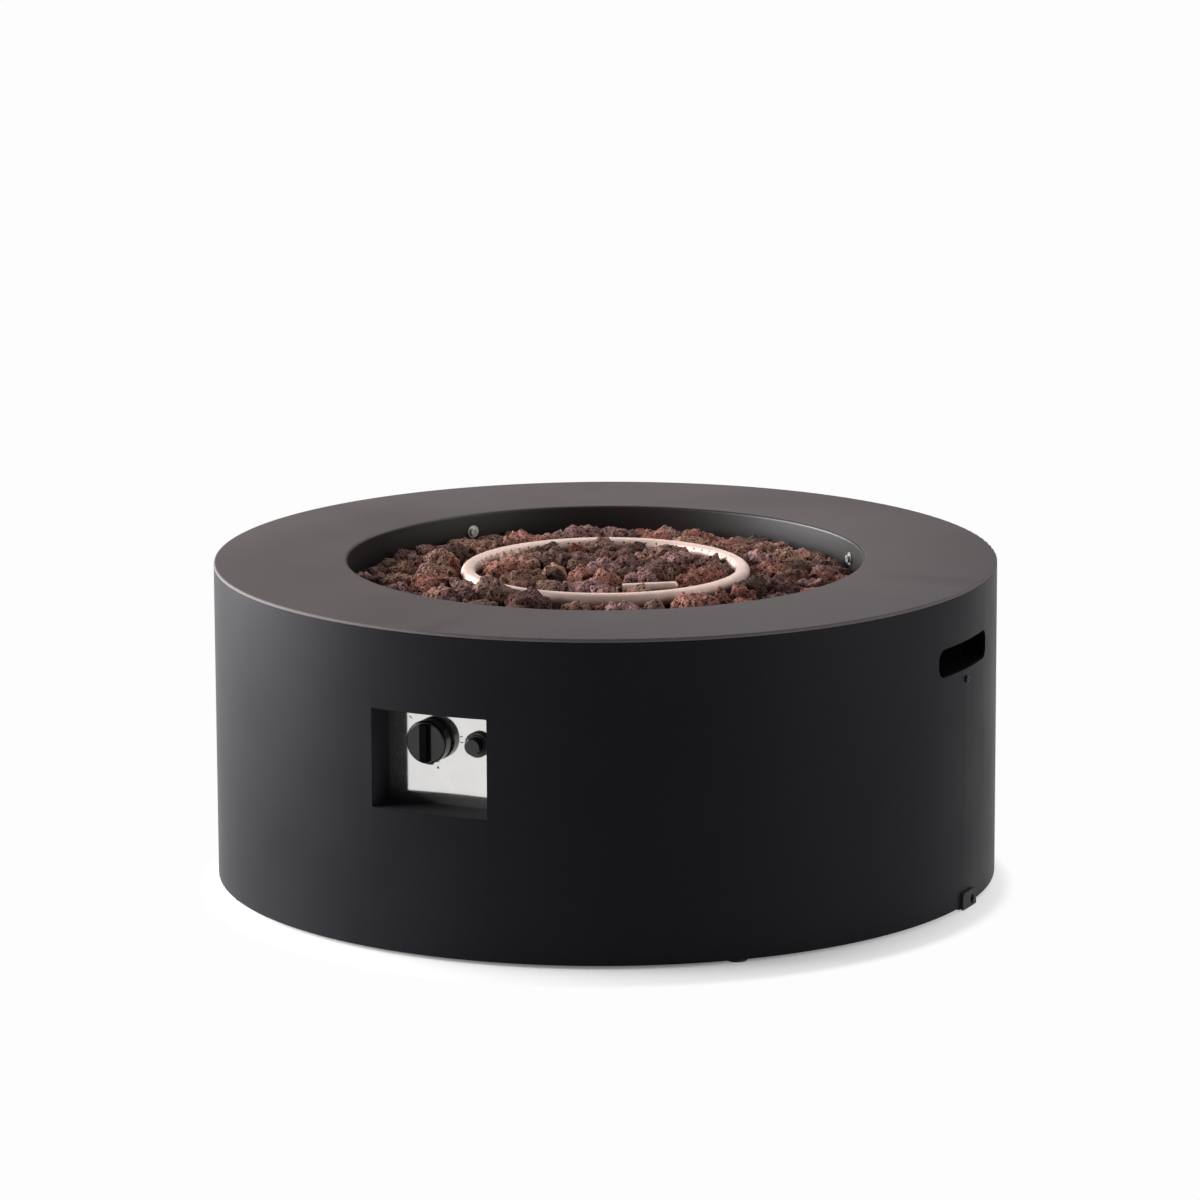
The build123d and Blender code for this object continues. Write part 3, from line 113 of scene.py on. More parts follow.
def add(tree, kind, inputs=None, **settings):
    """Add a node, set its properties, then set or link each named input."""
    node = tree.nodes.new(kind)
    for name, value in settings.items():
        setattr(node, name, value)
    for name, value in (inputs or {}).items():
        if isinstance(value, bpy.types.NodeSocket):
            tree.links.new(value, node.inputs[name])
        else:
            node.inputs[name].default_value = value
    return node


def start_material(name):
    """A new material with its Principled shader and its Object coordinates."""
    material = bpy.data.materials.new(name)
    material.use_nodes = True
    tree = material.node_tree
    shader = tree.nodes["Principled BSDF"]
    place = add(tree, "ShaderNodeTexCoord").outputs["Object"]
    return material, tree, shader, place


def per_metre(size_mm):
    """Texture scale whose features are about as large as the given size."""
    return 1 / (size_mm * MM)


def powder_coat(name, colour, fleck, roughness, ior, peel_mm):
    """Baked polyester powder on steel: an even satin skin, faintly dimpled like orange peel, with
    slow drifts in tone. The dimples are drawn coarser than life so that they show."""
    material, tree, shader, place = start_material(name)
    peel = add(tree, "ShaderNodeTexNoise", {"Vector": place, "Scale": per_metre(peel_mm), "Detail": 2.0})
    drift = add(tree, "ShaderNodeTexNoise", {"Vector": place, "Scale": per_metre(140), "Detail": 3.0})
    speck = add(tree, "ShaderNodeTexNoise", {"Vector": place, "Scale": per_metre(1.6), "Detail": 1.0})
    mottle = add(tree, "ShaderNodeMath", {0: drift.outputs["Fac"], 1: speck.outputs["Fac"]},
                 operation="MULTIPLY")
    tone = add(tree, "ShaderNodeValToRGB", {"Fac": mottle.outputs["Value"]})
    tone.color_ramp.elements[0].position = 0.1
    tone.color_ramp.elements[0].color = opaque(colour)
    tone.color_ramp.elements[1].position = 0.45
    tone.color_ramp.elements[1].color = opaque(fleck)
    gloss = add(tree, "ShaderNodeMapRange", {"Value": drift.outputs["Fac"], "From Min": 0.3, "From Max": 0.7,
                                             "To Min": roughness - 0.04, "To Max": roughness + 0.04})
    bump = add(tree, "ShaderNodeBump", {"Height": peel.outputs["Fac"], "Strength": 0.12,
                                        "Distance": BUMP_DEPTH})
    tree.links.new(tone.outputs["Color"], shader.inputs["Base Color"])
    tree.links.new(gloss.outputs["Result"], shader.inputs["Roughness"])
    tree.links.new(bump.outputs["Normal"], shader.inputs["Normal"])
    shader.inputs["IOR"].default_value = ior
    return material


def heat_proof_paint(name, colour, dust):
    """Flat stove paint on pressed steel: chalky black that greys a little with ash and handling."""
    material, tree, shader, place = start_material(name)
    ash = add(tree, "ShaderNodeTexNoise", {"Vector": place, "Scale": per_metre(35), "Detail": 6.0})
    grit = add(tree, "ShaderNodeTexNoise", {"Vector": place, "Scale": per_metre(1.2), "Detail": 2.0})
    tone = add(tree, "ShaderNodeValToRGB", {"Fac": ash.outputs["Fac"]})
    tone.color_ramp.elements[0].position = 0.35
    tone.color_ramp.elements[0].color = opaque(colour)
    tone.color_ramp.elements[1].position = 0.75
    tone.color_ramp.elements[1].color = opaque(dust)
    bump = add(tree, "ShaderNodeBump", {"Height": grit.outputs["Fac"], "Strength": 0.25,
                                        "Distance": BUMP_DEPTH})
    tree.links.new(tone.outputs["Color"], shader.inputs["Base Color"])
    tree.links.new(bump.outputs["Normal"], shader.inputs["Normal"])
    shader.inputs["Roughness"].default_value = 0.62
    return material


def worked_metal(name, colour, tint, roughness, grain_mm, depth, stretch=(1, 1, 1), metallic=1.0):
    """Bare metal that was drawn, brushed or turned: fine lines along the stretched axis break the
    reflections, and a slow tint tells plating or heat from clean metal."""
    material, tree, shader, place = start_material(name)
    lines = add(tree, "ShaderNodeMapping", {"Vector": place, "Scale": stretch})
    grain = add(tree, "ShaderNodeTexNoise", {"Vector": lines.outputs["Vector"], "Scale": per_metre(grain_mm),
                                             "Detail": 3.0})
    patch = add(tree, "ShaderNodeTexNoise", {"Vector": place, "Scale": per_metre(18), "Detail": 3.0})
    tone = add(tree, "ShaderNodeValToRGB", {"Fac": patch.outputs["Fac"]})
    tone.color_ramp.elements[0].position = 0.4
    tone.color_ramp.elements[0].color = opaque(colour)
    tone.color_ramp.elements[1].position = 0.7
    tone.color_ramp.elements[1].color = opaque(tint)
    gloss = add(tree, "ShaderNodeMapRange", {"Value": grain.outputs["Fac"], "From Min": 0.3, "From Max": 0.7,
                                             "To Min": roughness * 0.75, "To Max": roughness * 1.25})
    bump = add(tree, "ShaderNodeBump", {"Height": grain.outputs["Fac"], "Strength": depth,
                                        "Distance": BUMP_DEPTH})
    tree.links.new(tone.outputs["Color"], shader.inputs["Base Color"])
    tree.links.new(gloss.outputs["Result"], shader.inputs["Roughness"])
    tree.links.new(bump.outputs["Normal"], shader.inputs["Normal"])
    shader.inputs["Metallic"].default_value = metallic
    return material


def moulded(name, colour, worn, roughness, grain_mm, depth, ior=1.5):
    """Moulded plastic, rubber or ceramic: one colour through and through, a fine mould grain, and
    a slight bloom where it has been handled."""
    material, tree, shader, place = start_material(name)
    grain = add(tree, "ShaderNodeTexNoise", {"Vector": place, "Scale": per_metre(grain_mm), "Detail": 2.0})
    bloom = add(tree, "ShaderNodeTexNoise", {"Vector": place, "Scale": per_metre(9), "Detail": 3.0})
    tone = add(tree, "ShaderNodeValToRGB", {"Fac": bloom.outputs["Fac"]})
    tone.color_ramp.elements[0].position = 0.4
    tone.color_ramp.elements[0].color = opaque(colour)
    tone.color_ramp.elements[1].position = 0.8
    tone.color_ramp.elements[1].color = opaque(worn)
    bump = add(tree, "ShaderNodeBump", {"Height": grain.outputs["Fac"], "Strength": depth,
                                        "Distance": BUMP_DEPTH})
    tree.links.new(tone.outputs["Color"], shader.inputs["Base Color"])
    tree.links.new(bump.outputs["Normal"], shader.inputs["Normal"])
    shader.inputs["Roughness"].default_value = roughness
    shader.inputs["IOR"].default_value = ior
    return material


def lava(name, colour, pale, pore_shade):
    """Volcanic scoria: a froth of bubbles frozen in iron-rich glass. It is chalky and rough, pale where
    bubble walls catch dust, with painted shade that darkens the inside of the pores, and each stone has its
    own tone."""
    material, tree, shader, place = start_material(name)
    tone = add(tree, "ShaderNodeAttribute", attribute_name="tone")
    blotch = add(tree, "ShaderNodeTexNoise", {"Vector": place, "Scale": per_metre(11), "Detail": 5.0,
                                              "Roughness": 0.7})
    warp = add(tree, "ShaderNodeTexNoise", {"Vector": place, "Scale": per_metre(4), "Detail": 2.0})
    shift = add(tree, "ShaderNodeVectorMath", {0: warp.outputs["Color"], "Scale": 2.0 * MM},
                operation="SCALE")
    bent = add(tree, "ShaderNodeVectorMath", {0: place, 1: shift.outputs["Vector"]}, operation="ADD")
    large = add(tree, "ShaderNodeTexVoronoi", {"Vector": bent.outputs["Vector"], "Scale": per_metre(4.6)})
    small = add(tree, "ShaderNodeTexVoronoi", {"Vector": bent.outputs["Vector"], "Scale": per_metre(2.1)})
    wide = add(tree, "ShaderNodeMapRange", {"Value": large.outputs["Distance"], "From Min": 0.14,
                                            "From Max": 0.46})
    fine = add(tree, "ShaderNodeMapRange", {"Value": small.outputs["Distance"], "From Min": 0.1,
                                            "From Max": 0.5})
    froth = add(tree, "ShaderNodeMath", {0: wide.outputs["Result"], 1: fine.outputs["Result"]},
                operation="MULTIPLY")
    mixed = add(tree, "ShaderNodeMath", {0: tone.outputs["Fac"], 1: blotch.outputs["Fac"]}, operation="ADD")
    shade = add(tree, "ShaderNodeMapRange", {"Value": mixed.outputs["Value"], "From Min": 0.55,
                                             "From Max": 1.3})
    skin = add(tree, "ShaderNodeMix", {0: shade.outputs["Result"], 6: opaque(colour), 7: opaque(pale)},
               data_type="RGBA")
    # The pores take the near-black colour: painted shade inside the bubbles.
    shaded_pores = add(tree, "ShaderNodeMix", {0: froth.outputs["Value"], 6: opaque(pore_shade), 7: skin.outputs[2]},
               data_type="RGBA")
    bump = add(tree, "ShaderNodeBump", {"Height": froth.outputs["Value"], "Strength": 0.9,
                                        "Distance": PORE_DEPTH})
    tree.links.new(shaded_pores.outputs[2], shader.inputs["Base Color"])
    tree.links.new(bump.outputs["Normal"], shader.inputs["Normal"])
    shader.inputs["Roughness"].default_value = 0.92
    shader.inputs["Specular IOR Level"].default_value = 0.15
    return material


def overlay(material, mask, colour, roughness, ior):
    """Lay a second plain skin over a material where the mask is one."""
    tree = material.node_tree
    skin = add(tree, "ShaderNodeBsdfPrincipled", {"Base Color": opaque(colour), "Roughness": roughness,
                                                  "IOR": ior})
    both = add(tree, "ShaderNodeMixShader", {0: mask, 1: tree.nodes["Principled BSDF"].outputs["BSDF"],
                                             2: skin.outputs["BSDF"]})
    tree.links.new(both.outputs["Shader"], tree.nodes["Material Output"].inputs["Surface"])


def paint_shade_inside_lip(material, radius, colour):
    """Paint what lies nearer to the upright axis than a radius in another colour: the pan's black stove paint
    together with painted shade down the inside of the lip, from its turn."""
    tree = material.node_tree
    place = add(tree, "ShaderNodeTexCoord").outputs["Object"]
    level = add(tree, "ShaderNodeVectorMath", {0: place, 1: (1, 1, 0)}, operation="MULTIPLY")
    across = add(tree, "ShaderNodeVectorMath", {0: level.outputs["Vector"]}, operation="LENGTH")
    soft_edge = 0.5 * MM
    # Darker and glossier inside this radius: stove-paint colour with painted shade over it.
    inside = add(tree, "ShaderNodeMapRange", {"Value": across.outputs["Value"], "To Min": 1.0, "To Max": 0.0,
                                              "From Min": radius - soft_edge, "From Max": radius + soft_edge})
    overlay(material, inside.outputs["Result"], colour, roughness=0.45, ior=1.45)


def soften_front(material, depth, colour):
    """Give what stands in front of a depth a soft rubbery skin that mirrors nothing, as on a grip."""
    tree = material.node_tree
    place = add(tree, "ShaderNodeTexCoord").outputs["Object"]
    axes = add(tree, "ShaderNodeSeparateXYZ", {"Vector": place})
    front = add(tree, "ShaderNodeMath", {0: axes.outputs["Y"], 1: depth}, operation="LESS_THAN")
    overlay(material, front.outputs["Value"], colour, roughness=0.8, ior=1.1)


def zinc_plate():
    """Bright zinc on steel fasteners: bluish grey, slightly clouded."""
    made = bpy.data.materials.get("bright zinc plate")
    return made or worked_metal("bright zinc plate", linear("#c4c5c5"), linear("#cfcec8"), roughness=0.42,
                                grain_mm=0.8, depth=0.08)


# Shapes


def piece(name, points, faces, material, body):
    """Put points in metres and faces into a new smooth object that rides on a body."""
    mesh = bpy.data.meshes.new(name)
    mesh.from_pydata(points, [], faces)
    mesh.shade_smooth()
    mesh.materials.append(material)
    made = bpy.data.objects.new(name, mesh)
    bpy.context.scene.collection.objects.link(made)
    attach(made, body)
    return made


def dress(nodes, material):
    """Give CAD nodes a finish. Their loose triangles are joined in a copy, which stands for the
    node, so that round faces shade as round and edges past the crease angle stay sharp."""
    crease = math.radians(28)
    weld = 0.002 * MM
    for name in nodes:
        node = frame["nodes"][name]
        joined = bmesh.new()
        joined.from_mesh(node.data)
        bmesh.ops.remove_doubles(joined, verts=joined.verts, dist=weld)
        mesh = bpy.data.meshes.new(name + "_skin")
        joined.to_mesh(mesh)
        joined.free()
        mesh.attributes.remove(mesh.attributes["custom_normal"])
        mesh.shade_smooth()
        mesh.set_sharp_from_angle(angle=crease)
        mesh.materials.clear()
        mesh.materials.append(material)
        skin = bpy.data.objects.new(name + "_skin", mesh)
        bpy.context.scene.collection.objects.link(skin)
        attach(skin, node["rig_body"])
        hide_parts(name)


def shorten(spring):
    """Give a dressed spring a mesh of its own; it is not shortened here."""
    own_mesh(bpy.data.objects[spring + "_skin"])


def ball_grid(divisions):
    """Unit directions of a cube blown up to a ball: six square grids with equal angles, whose
    shared edges are joined. Gives the directions and the quads, facing outwards."""
    angle = np.tan(np.linspace(-math.pi / 4, math.pi / 4, divisions + 1))
    u, v = np.meshgrid(angle, angle, indexing="ij")
    flat = np.stack([u, v, np.ones_like(u)], axis=-1).reshape(-1, 3)
    sides = [flat[:, order] * sign for order, sign in (
        ((0, 1, 2), (1, 1, 1)), ((1, 0, 2), (1, 1, -1)), ((2, 0, 1), (1, 1, 1)),
        ((2, 1, 0), (-1, 1, 1)), ((1, 2, 0), (1, 1, 1)), ((0, 2, 1), (1, -1, 1)))]
    points = np.concatenate(sides)
    points = points / np.linalg.norm(points, axis=1, keepdims=True)
    corner = np.arange((divisions + 1) ** 2).reshape(divisions + 1, -1)
    quad = np.stack([corner[:-1, :-1], corner[1:, :-1], corner[1:, 1:], corner[:-1, 1:]], axis=-1)
    quads = np.concatenate([quad.reshape(-1, 4) + side * corner.size for side in range(6)])
    _, first, inverse = np.unique(np.round(points, 6), axis=0, return_index=True, return_inverse=True)
    directions = points[first]
    quads = inverse.reshape(-1)[quads]
    a, b, c = (directions[quads[:, k]] for k in range(3))
    inward = np.einsum("ij,ij->i", np.cross(b - a, c - b), a) < 0
    quads[inward] = quads[inward][:, ::-1]
    return directions, quads


def upright_plates(outlines, back, front):
    """Thin plates that face the front: each outline, x and z round it anticlockwise as the front sees
    it, is set at two depths, and its sides are the strips between them."""
    points, faces = [], []
    start = 0
    for outline in outlines:
        count = len(outline)
        for depth in (front, back):
            points.append(np.insert(np.asarray(outline), 1, depth, axis=1))
        index = np.arange(count)
        after = np.roll(index, -1)
        faces.append((start + index).tolist())
        faces.append((start + count + index[::-1]).tolist())
        faces.extend((start + np.column_stack([after, index, index + count, after + count])).tolist())
        start += 2 * count
    return np.concatenate(points), faces


def index_marks(centre):
    """Outlines, x and z, of the marks round a knob: a triangle below it, then ticks that are thin
    rectangles along the radius at given angles."""
    arrow = np.array(((4.2, -33), (7.8, -33), (6, -29.8))) * MM
    near, far, half_width = 34 * MM, 38 * MM, 0.5 * MM
    outlines = [centre + arrow]
    for angle in np.radians((0, 10, 128, 141)):
        along = np.array((math.cos(angle), math.sin(angle)))
        across = np.array((-along[1], along[0])) * half_width
        outlines.append(centre + np.array((near * along - across, far * along - across,
                                           far * along + across, near * along + across)))
    return outlines


def lattice_noise(points, seed):
    """Smooth noise from -1 to 1: random values on a unit lattice, eased between its corners."""
    primes = np.array((73856093, 19349663, 83492791))
    cell = np.floor(points).astype(np.int64)
    part = points - cell
    part = part * part * (3 - 2 * part)
    total = np.zeros(len(points))
    for corner in np.ndindex(2, 2, 2):
        key = (cell + corner) @ primes + seed * 2654435761
        key = (key ^ (key >> 13)) * 1274126177
        value = ((key ^ (key >> 16)) & 0xFFFF) / 32767.5 - 1
        share = np.where(np.array(corner) == 1, part, 1 - part).prod(axis=1)
        total += share * value
    return total


def stone_blocks(node):
    """Centre, flat normals and flat distances of each separate convex block in a CAD node."""
    grid = 0.01 * MM
    least_area = (0.05 * MM) ** 2
    mesh = frame["nodes"][node].data
    corners = np.empty(len(mesh.vertices) * 3)
    mesh.vertices.foreach_get("co", corners)
    corners = corners.reshape(-1, 3)
    triangles = np.empty(len(mesh.polygons) * 3, dtype=np.int64)
    mesh.polygons.foreach_get("vertices", triangles)
    steps = np.round(corners / grid).astype(np.int64)
    shared, inverse = np.unique(steps, axis=0, return_inverse=True)
    triangles = inverse.reshape(-1)[triangles].reshape(-1, 3)
    shared = shared * grid
    label = np.arange(len(shared))
    while True:
        lowest = label[triangles].min(axis=1)
        spread = label.copy()
        np.minimum.at(spread, triangles.reshape(-1), np.repeat(lowest, 3))
        if (spread == label).all():
            break
        label = spread
    blocks = []
    for block in np.unique(label):
        a, b, c = (shared[triangles[label[triangles[:, 0]] == block][:, k]] for k in range(3))
        normal = np.cross(b - a, c - a)
        area = np.linalg.norm(normal, axis=1)
        wide = area > least_area
        normal = normal[wide] / area[wide][:, None]
        centre = shared[label == block].mean(axis=0)
        reach = np.einsum("ij,ij->i", normal, a[wide] - centre)
        _, first = np.unique(np.round(normal, 2), axis=0, return_index=True)
        blocks.append((centre, normal[first], reach[first]))
    return blocks


def porous_stones(name, settings, seed):
    """Shape every stone of one CAD node. Along each direction the radius is a soft minimum over the
    block's flats, one over the p-norm of direction times normal over distance, so that edges are
    rounded. Knobs of three sizes, the size of a noise with its sign dropped, then swell it with creases
    between them, and bubbles bite into it where another noise is high."""
    rng = np.random.default_rng(seed)
    knobs = np.array(((15, 8.0), (7.5, 5.0), (4, 2.6))) * MM
    mean_size = 0.3
    bubble_size = 6 * MM
    bubble_step = 7
    bubble_edge, bubble_slope = 0.2, 0.4
    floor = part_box("burner_pan")[0].z
    fine, coarse = ball_grid(settings.fine_divisions), ball_grid(settings.coarse_divisions)
    points, faces, tones = [], [], []
    start = 0
    for centre, normals, reach in stone_blocks(name):
        buried = centre[2] < floor + settings.buried_depth
        directions, quads = coarse if buried else fine
        push = np.maximum(directions @ normals.T / reach, 0)
        radius = (push ** settings.edge_power).sum(axis=1) ** (-1 / settings.edge_power)
        spill = math.exp(-(math.dist(centre[:2], settings.spill_place) / settings.spill_reach) ** 2)
        surface = directions * radius[:, None] * (settings.swell + settings.spill_swell * spill)
        key = int(rng.integers(1, 10000))
        lumps = sum((np.abs(lattice_noise((surface + centre) / size, key + step)) - mean_size) * height
                    for step, (size, height) in enumerate(knobs))
        bubbles = lattice_noise((surface + centre) / bubble_size, key + bubble_step)
        lumps -= np.clip((bubbles - bubble_edge) / bubble_slope, 0, 1) * settings.bubble_depth
        points.append(surface + directions * lumps[:, None] + centre)
        faces.append(quads + start)
        tones.append(np.full(len(directions), rng.random()))
        start += len(directions)
    return np.concatenate(points), np.concatenate(faces), np.concatenate(tones)


# Stage


def place_camera(scene, stage):
    """Camera at the given azimuth and height, turned by heading, pitch and roll in that order."""
    camera = bpy.data.objects.new("camera", bpy.data.cameras.new("camera"))
    camera.data.lens = stage.lens
    camera.data.sensor_width = SENSOR_WIDTH
    camera.data.sensor_fit = "HORIZONTAL"
    turn = (Matrix.Rotation(stage.view_azimuth - stage.view_yaw, 4, "Z")
            @ Matrix.Rotation(math.pi / 2 - stage.view_pitch, 4, "X")
            @ Matrix.Rotation(stage.view_roll, 4, "Z"))
    place = Vector((math.sin(stage.view_azimuth), -math.cos(stage.view_azimuth), 0)) * stage.view_distance
    camera.matrix_world = Matrix.Translation(place + Vector((0, 0, stage.view_height))) @ turn
    scene.collection.objects.link(camera)
    scene.camera = camera


def lay_floor(stage):
    """A round floor, one flat face whose rim is a circle's cosine and sine at even angles: matt and pale
    near the drum, where its shadow falls, and plain white beyond."""
    sides = 96
    angle = np.linspace(0, 2 * math.pi, sides, endpoint=False)
    rim = np.column_stack([np.cos(angle), np.sin(angle), np.zeros_like(angle)]) * FLOOR_RADIUS
    mesh = bpy.data.meshes.new("floor")
    mesh.from_pydata(rim, [], [list(range(len(rim)))])
    material, tree, shader, place = start_material("pale studio floor")
    far = add(tree, "ShaderNodeVectorMath", {0: place, 1: stage.floor_centre}, operation="DISTANCE")
    fade = add(tree, "ShaderNodeMapRange", {"Value": far.outputs["Value"], "From Min": stage.floor_near,
                                            "From Max": stage.floor_clear, "To Min": stage.floor_glow},
               interpolation_type="SMOOTHSTEP")
    clear = add(tree, "ShaderNodeMapRange", {"Value": far.outputs["Value"], "From Min": stage.floor_dark,
                                             "From Max": stage.floor_near})
    open_fade = add(tree, "ShaderNodeMath", {0: fade.outputs["Result"], 1: clear.outputs["Result"]},
                    operation="MULTIPLY")
    path = add(tree, "ShaderNodeLightPath").outputs
    seen = add(tree, "ShaderNodeMath", {0: path["Is Camera Ray"], 1: path["Is Glossy Ray"]},
               operation="MAXIMUM")
    white = add(tree, "ShaderNodeMath", {0: open_fade.outputs["Value"], 1: seen.outputs["Value"]},
                operation="MULTIPLY")
    glow = add(tree, "ShaderNodeEmission", {"Color": opaque(linear("#fdfdfd")), "Strength": 1.0})
    shader.inputs["Base Color"].default_value = opaque(stage.floor_colour)
    shader.inputs["Roughness"].default_value = 1.0
    shader.inputs["Specular IOR Level"].default_value = 0.0
    both = add(tree, "ShaderNodeMixShader", {0: white.outputs["Value"], 1: shader.outputs["BSDF"],
                                             2: glow.outputs["Emission"]})
    tree.links.new(both.outputs["Shader"], tree.nodes["Material Output"].inputs["Surface"])
    mesh.materials.append(material)
    floor = bpy.data.objects.new("floor", mesh)
    bpy.context.scene.collection.objects.link(floor)


def light_studio(scene, stage):
    """White surroundings for the camera, dim ambient light, and three soft boxes. The wide, low one on
    the left rakes the wall, and the front stays dark."""
    world = bpy.data.worlds.new("studio")
    world.use_nodes = True
    tree = world.node_tree
    seen = add(tree, "ShaderNodeLightPath").outputs["Is Camera Ray"]
    level = add(tree, "ShaderNodeMapRange", {"Value": seen, "To Min": stage.ambient, "To Max": 1.0})
    tree.links.new(level.outputs["Result"], tree.nodes["Background"].inputs["Strength"])
    tree.nodes["Background"].inputs["Color"].default_value = (1, 1, 1, 1)
    scene.world = world
    for name, place, width, height, watts in (
            ("overhead", (0.1, 0.9, 1.5), 1.6, 1.2, stage.overhead_watts),
            ("key", (-2.68, -0.65, 0.75), 3.4, 1.5, stage.key_watts),
            ("fill", (2.65, 0.25, 0.8), 2.6, 1.6, stage.fill_watts)):
        lamp = bpy.data.lights.new(name, "AREA")
        lamp.shape = "RECTANGLE"
        lamp.size = width
        lamp.size_y = height
        lamp.energy = watts
        light = bpy.data.objects.new(name, lamp)
        aim = Vector((0, 0, CAD_BOX[1].z / 2)) - Vector(place)
        light.matrix_world = Matrix.Translation(place) @ aim.to_track_quat("-Z", "Y").to_matrix().to_4x4()
        scene.collection.objects.link(light)


# Settings


class FIREPIT_PG_finish(bpy.types.PropertyGroup):
    """Colours of the drum and its fittings."""

    wall_colour: bpy.props.FloatVectorProperty(
        name="Wall", description="Powder coat of the drum's wall", subtype="COLOR",
        default=linear("#121115"))
    top_colour: bpy.props.FloatVectorProperty(
        name="Top", description="Powder coat of the top ring", subtype="COLOR", default=linear("#544e4f"))
    pan_colour: bpy.props.FloatVectorProperty(
        name="Pan", description="Stove paint of the burner pan", subtype="COLOR", default=linear("#292324"))
    steel_colour: bpy.props.FloatVectorProperty(
        name="Stainless", description="Ring burner and its fittings", subtype="COLOR",
        default=linear("#cdb8b0"))
    plastic_colour: bpy.props.FloatVectorProperty(
        name="Plastic", description="Knob and igniter button", subtype="COLOR", default=linear("#0c0c0d"))


class FIREPIT_PG_rock(bpy.types.PropertyGroup):
    """Shape and colours of the lava rock."""

    fine_divisions: bpy.props.IntProperty(
        name="Divisions", description="Grid steps along a stone that shows", default=18, min=4)
    coarse_divisions: bpy.props.IntProperty(
        name="Buried divisions", description="Grid steps along a stone that others cover", default=8, min=4)
    buried_depth: bpy.props.FloatProperty(
        name="Buried below", description="Height over the pan under which a stone's centre counts as buried",
        default=21 * MM, unit="LENGTH")
    edge_power: bpy.props.FloatProperty(
        name="Edge power", description="Higher keeps the stones' edges crisper", default=9.0, min=2)
    swell: bpy.props.FloatProperty(
        name="Swell", description="Size against the plain blocks", default=1.05, min=0.5)
    spill_place: bpy.props.FloatVectorProperty(
        name="Spill", description="Where stones spill over the ring", size=2, default=(-55 * MM, -160 * MM),
        unit="LENGTH")
    spill_reach: bpy.props.FloatProperty(
        name="Spill reach", description="How far around it stones are larger", default=60 * MM,
        unit="LENGTH")
    spill_swell: bpy.props.FloatProperty(
        name="Spill swell", description="How much larger they are there", default=0.4, min=0)
    bubble_depth: bpy.props.FloatProperty(
        name="Bubble depth", description="How deep the large bubbles bite", default=2.2 * MM, unit="LENGTH")
    red: bpy.props.FloatVectorProperty(
        name="Red", description="Oxidised red-brown stones", subtype="COLOR", default=linear("#6c3d33"))
    brown: bpy.props.FloatVectorProperty(
        name="Brown", description="Earth-brown stones", subtype="COLOR", default=linear("#67473c"))
    dark: bpy.props.FloatVectorProperty(
        name="Dark", description="Dark grey-brown stones", subtype="COLOR", default=linear("#4c3630"))
    violet: bpy.props.FloatVectorProperty(
        name="Violet", description="Mauve stones", subtype="COLOR", default=linear("#60433f"))


class FIREPIT_PG_stage(bpy.types.PropertyGroup):
    """Camera and studio light."""

    view_azimuth: bpy.props.FloatProperty(
        name="Azimuth", description="Camera to the right of the controls", default=math.radians(25.87),
        subtype="ANGLE")
    view_distance: bpy.props.FloatProperty(
        name="Distance", description="Level distance from the drum's axis", default=7.14528, unit="LENGTH")
    view_height: bpy.props.FloatProperty(
        name="Height", description="Camera over the floor", default=1.8456, unit="LENGTH")
    view_pitch: bpy.props.FloatProperty(
        name="Pitch", description="How far the camera looks down", default=math.radians(12.037),
        subtype="ANGLE")
    view_yaw: bpy.props.FloatProperty(
        name="Yaw", description="How far it looks right of the axis", default=math.radians(-0.052),
        subtype="ANGLE")
    view_roll: bpy.props.FloatProperty(
        name="Roll", description="How far it is tilted", default=math.radians(-0.249), subtype="ANGLE")
    lens: bpy.props.FloatProperty(
        name="Lens", description="Focal length on a 36 mm sensor", default=187.23, unit="CAMERA")
    floor_colour: bpy.props.FloatVectorProperty(
        name="Floor", description="Pale studio floor", subtype="COLOR", default=linear("#fafafa"))
    floor_near: bpy.props.FloatProperty(
        name="Floor fade start", description="Distance up to which the floor keeps its shadow",
        default=0.457, unit="LENGTH")
    floor_dark: bpy.props.FloatProperty(
        name="Floor dark", description="Distance up to which the drum keeps the floor dark", default=0.36,
        unit="LENGTH")
    floor_clear: bpy.props.FloatProperty(
        name="Floor fade end", description="Distance at which the floor is plain white", default=0.48,
        unit="LENGTH")
    floor_centre: bpy.props.FloatVectorProperty(
        name="Floor fade centre", description="Point that the fade is measured from", size=3,
        default=(0.026, -0.054, 0), subtype="TRANSLATION", unit="LENGTH")
    floor_glow: bpy.props.FloatProperty(
        name="Floor glow", description="Share of plain white in the shadow", default=0.55, min=0, max=1)
    ambient: bpy.props.FloatProperty(
        name="Ambient", description="Studio light from all round", default=0.13, min=0)
    overhead_watts: bpy.props.FloatProperty(
        name="Overhead", description="Power of the soft box above the back", default=18.0, unit="POWER")
    key_watts: bpy.props.FloatProperty(
        name="Key", description="Power of the wide soft box on the left", default=360.0, unit="POWER")
    fill_watts: bpy.props.FloatProperty(
        name="Fill", description="Power of the soft box on the right", default=42.0, unit="POWER")


# Operators and panel


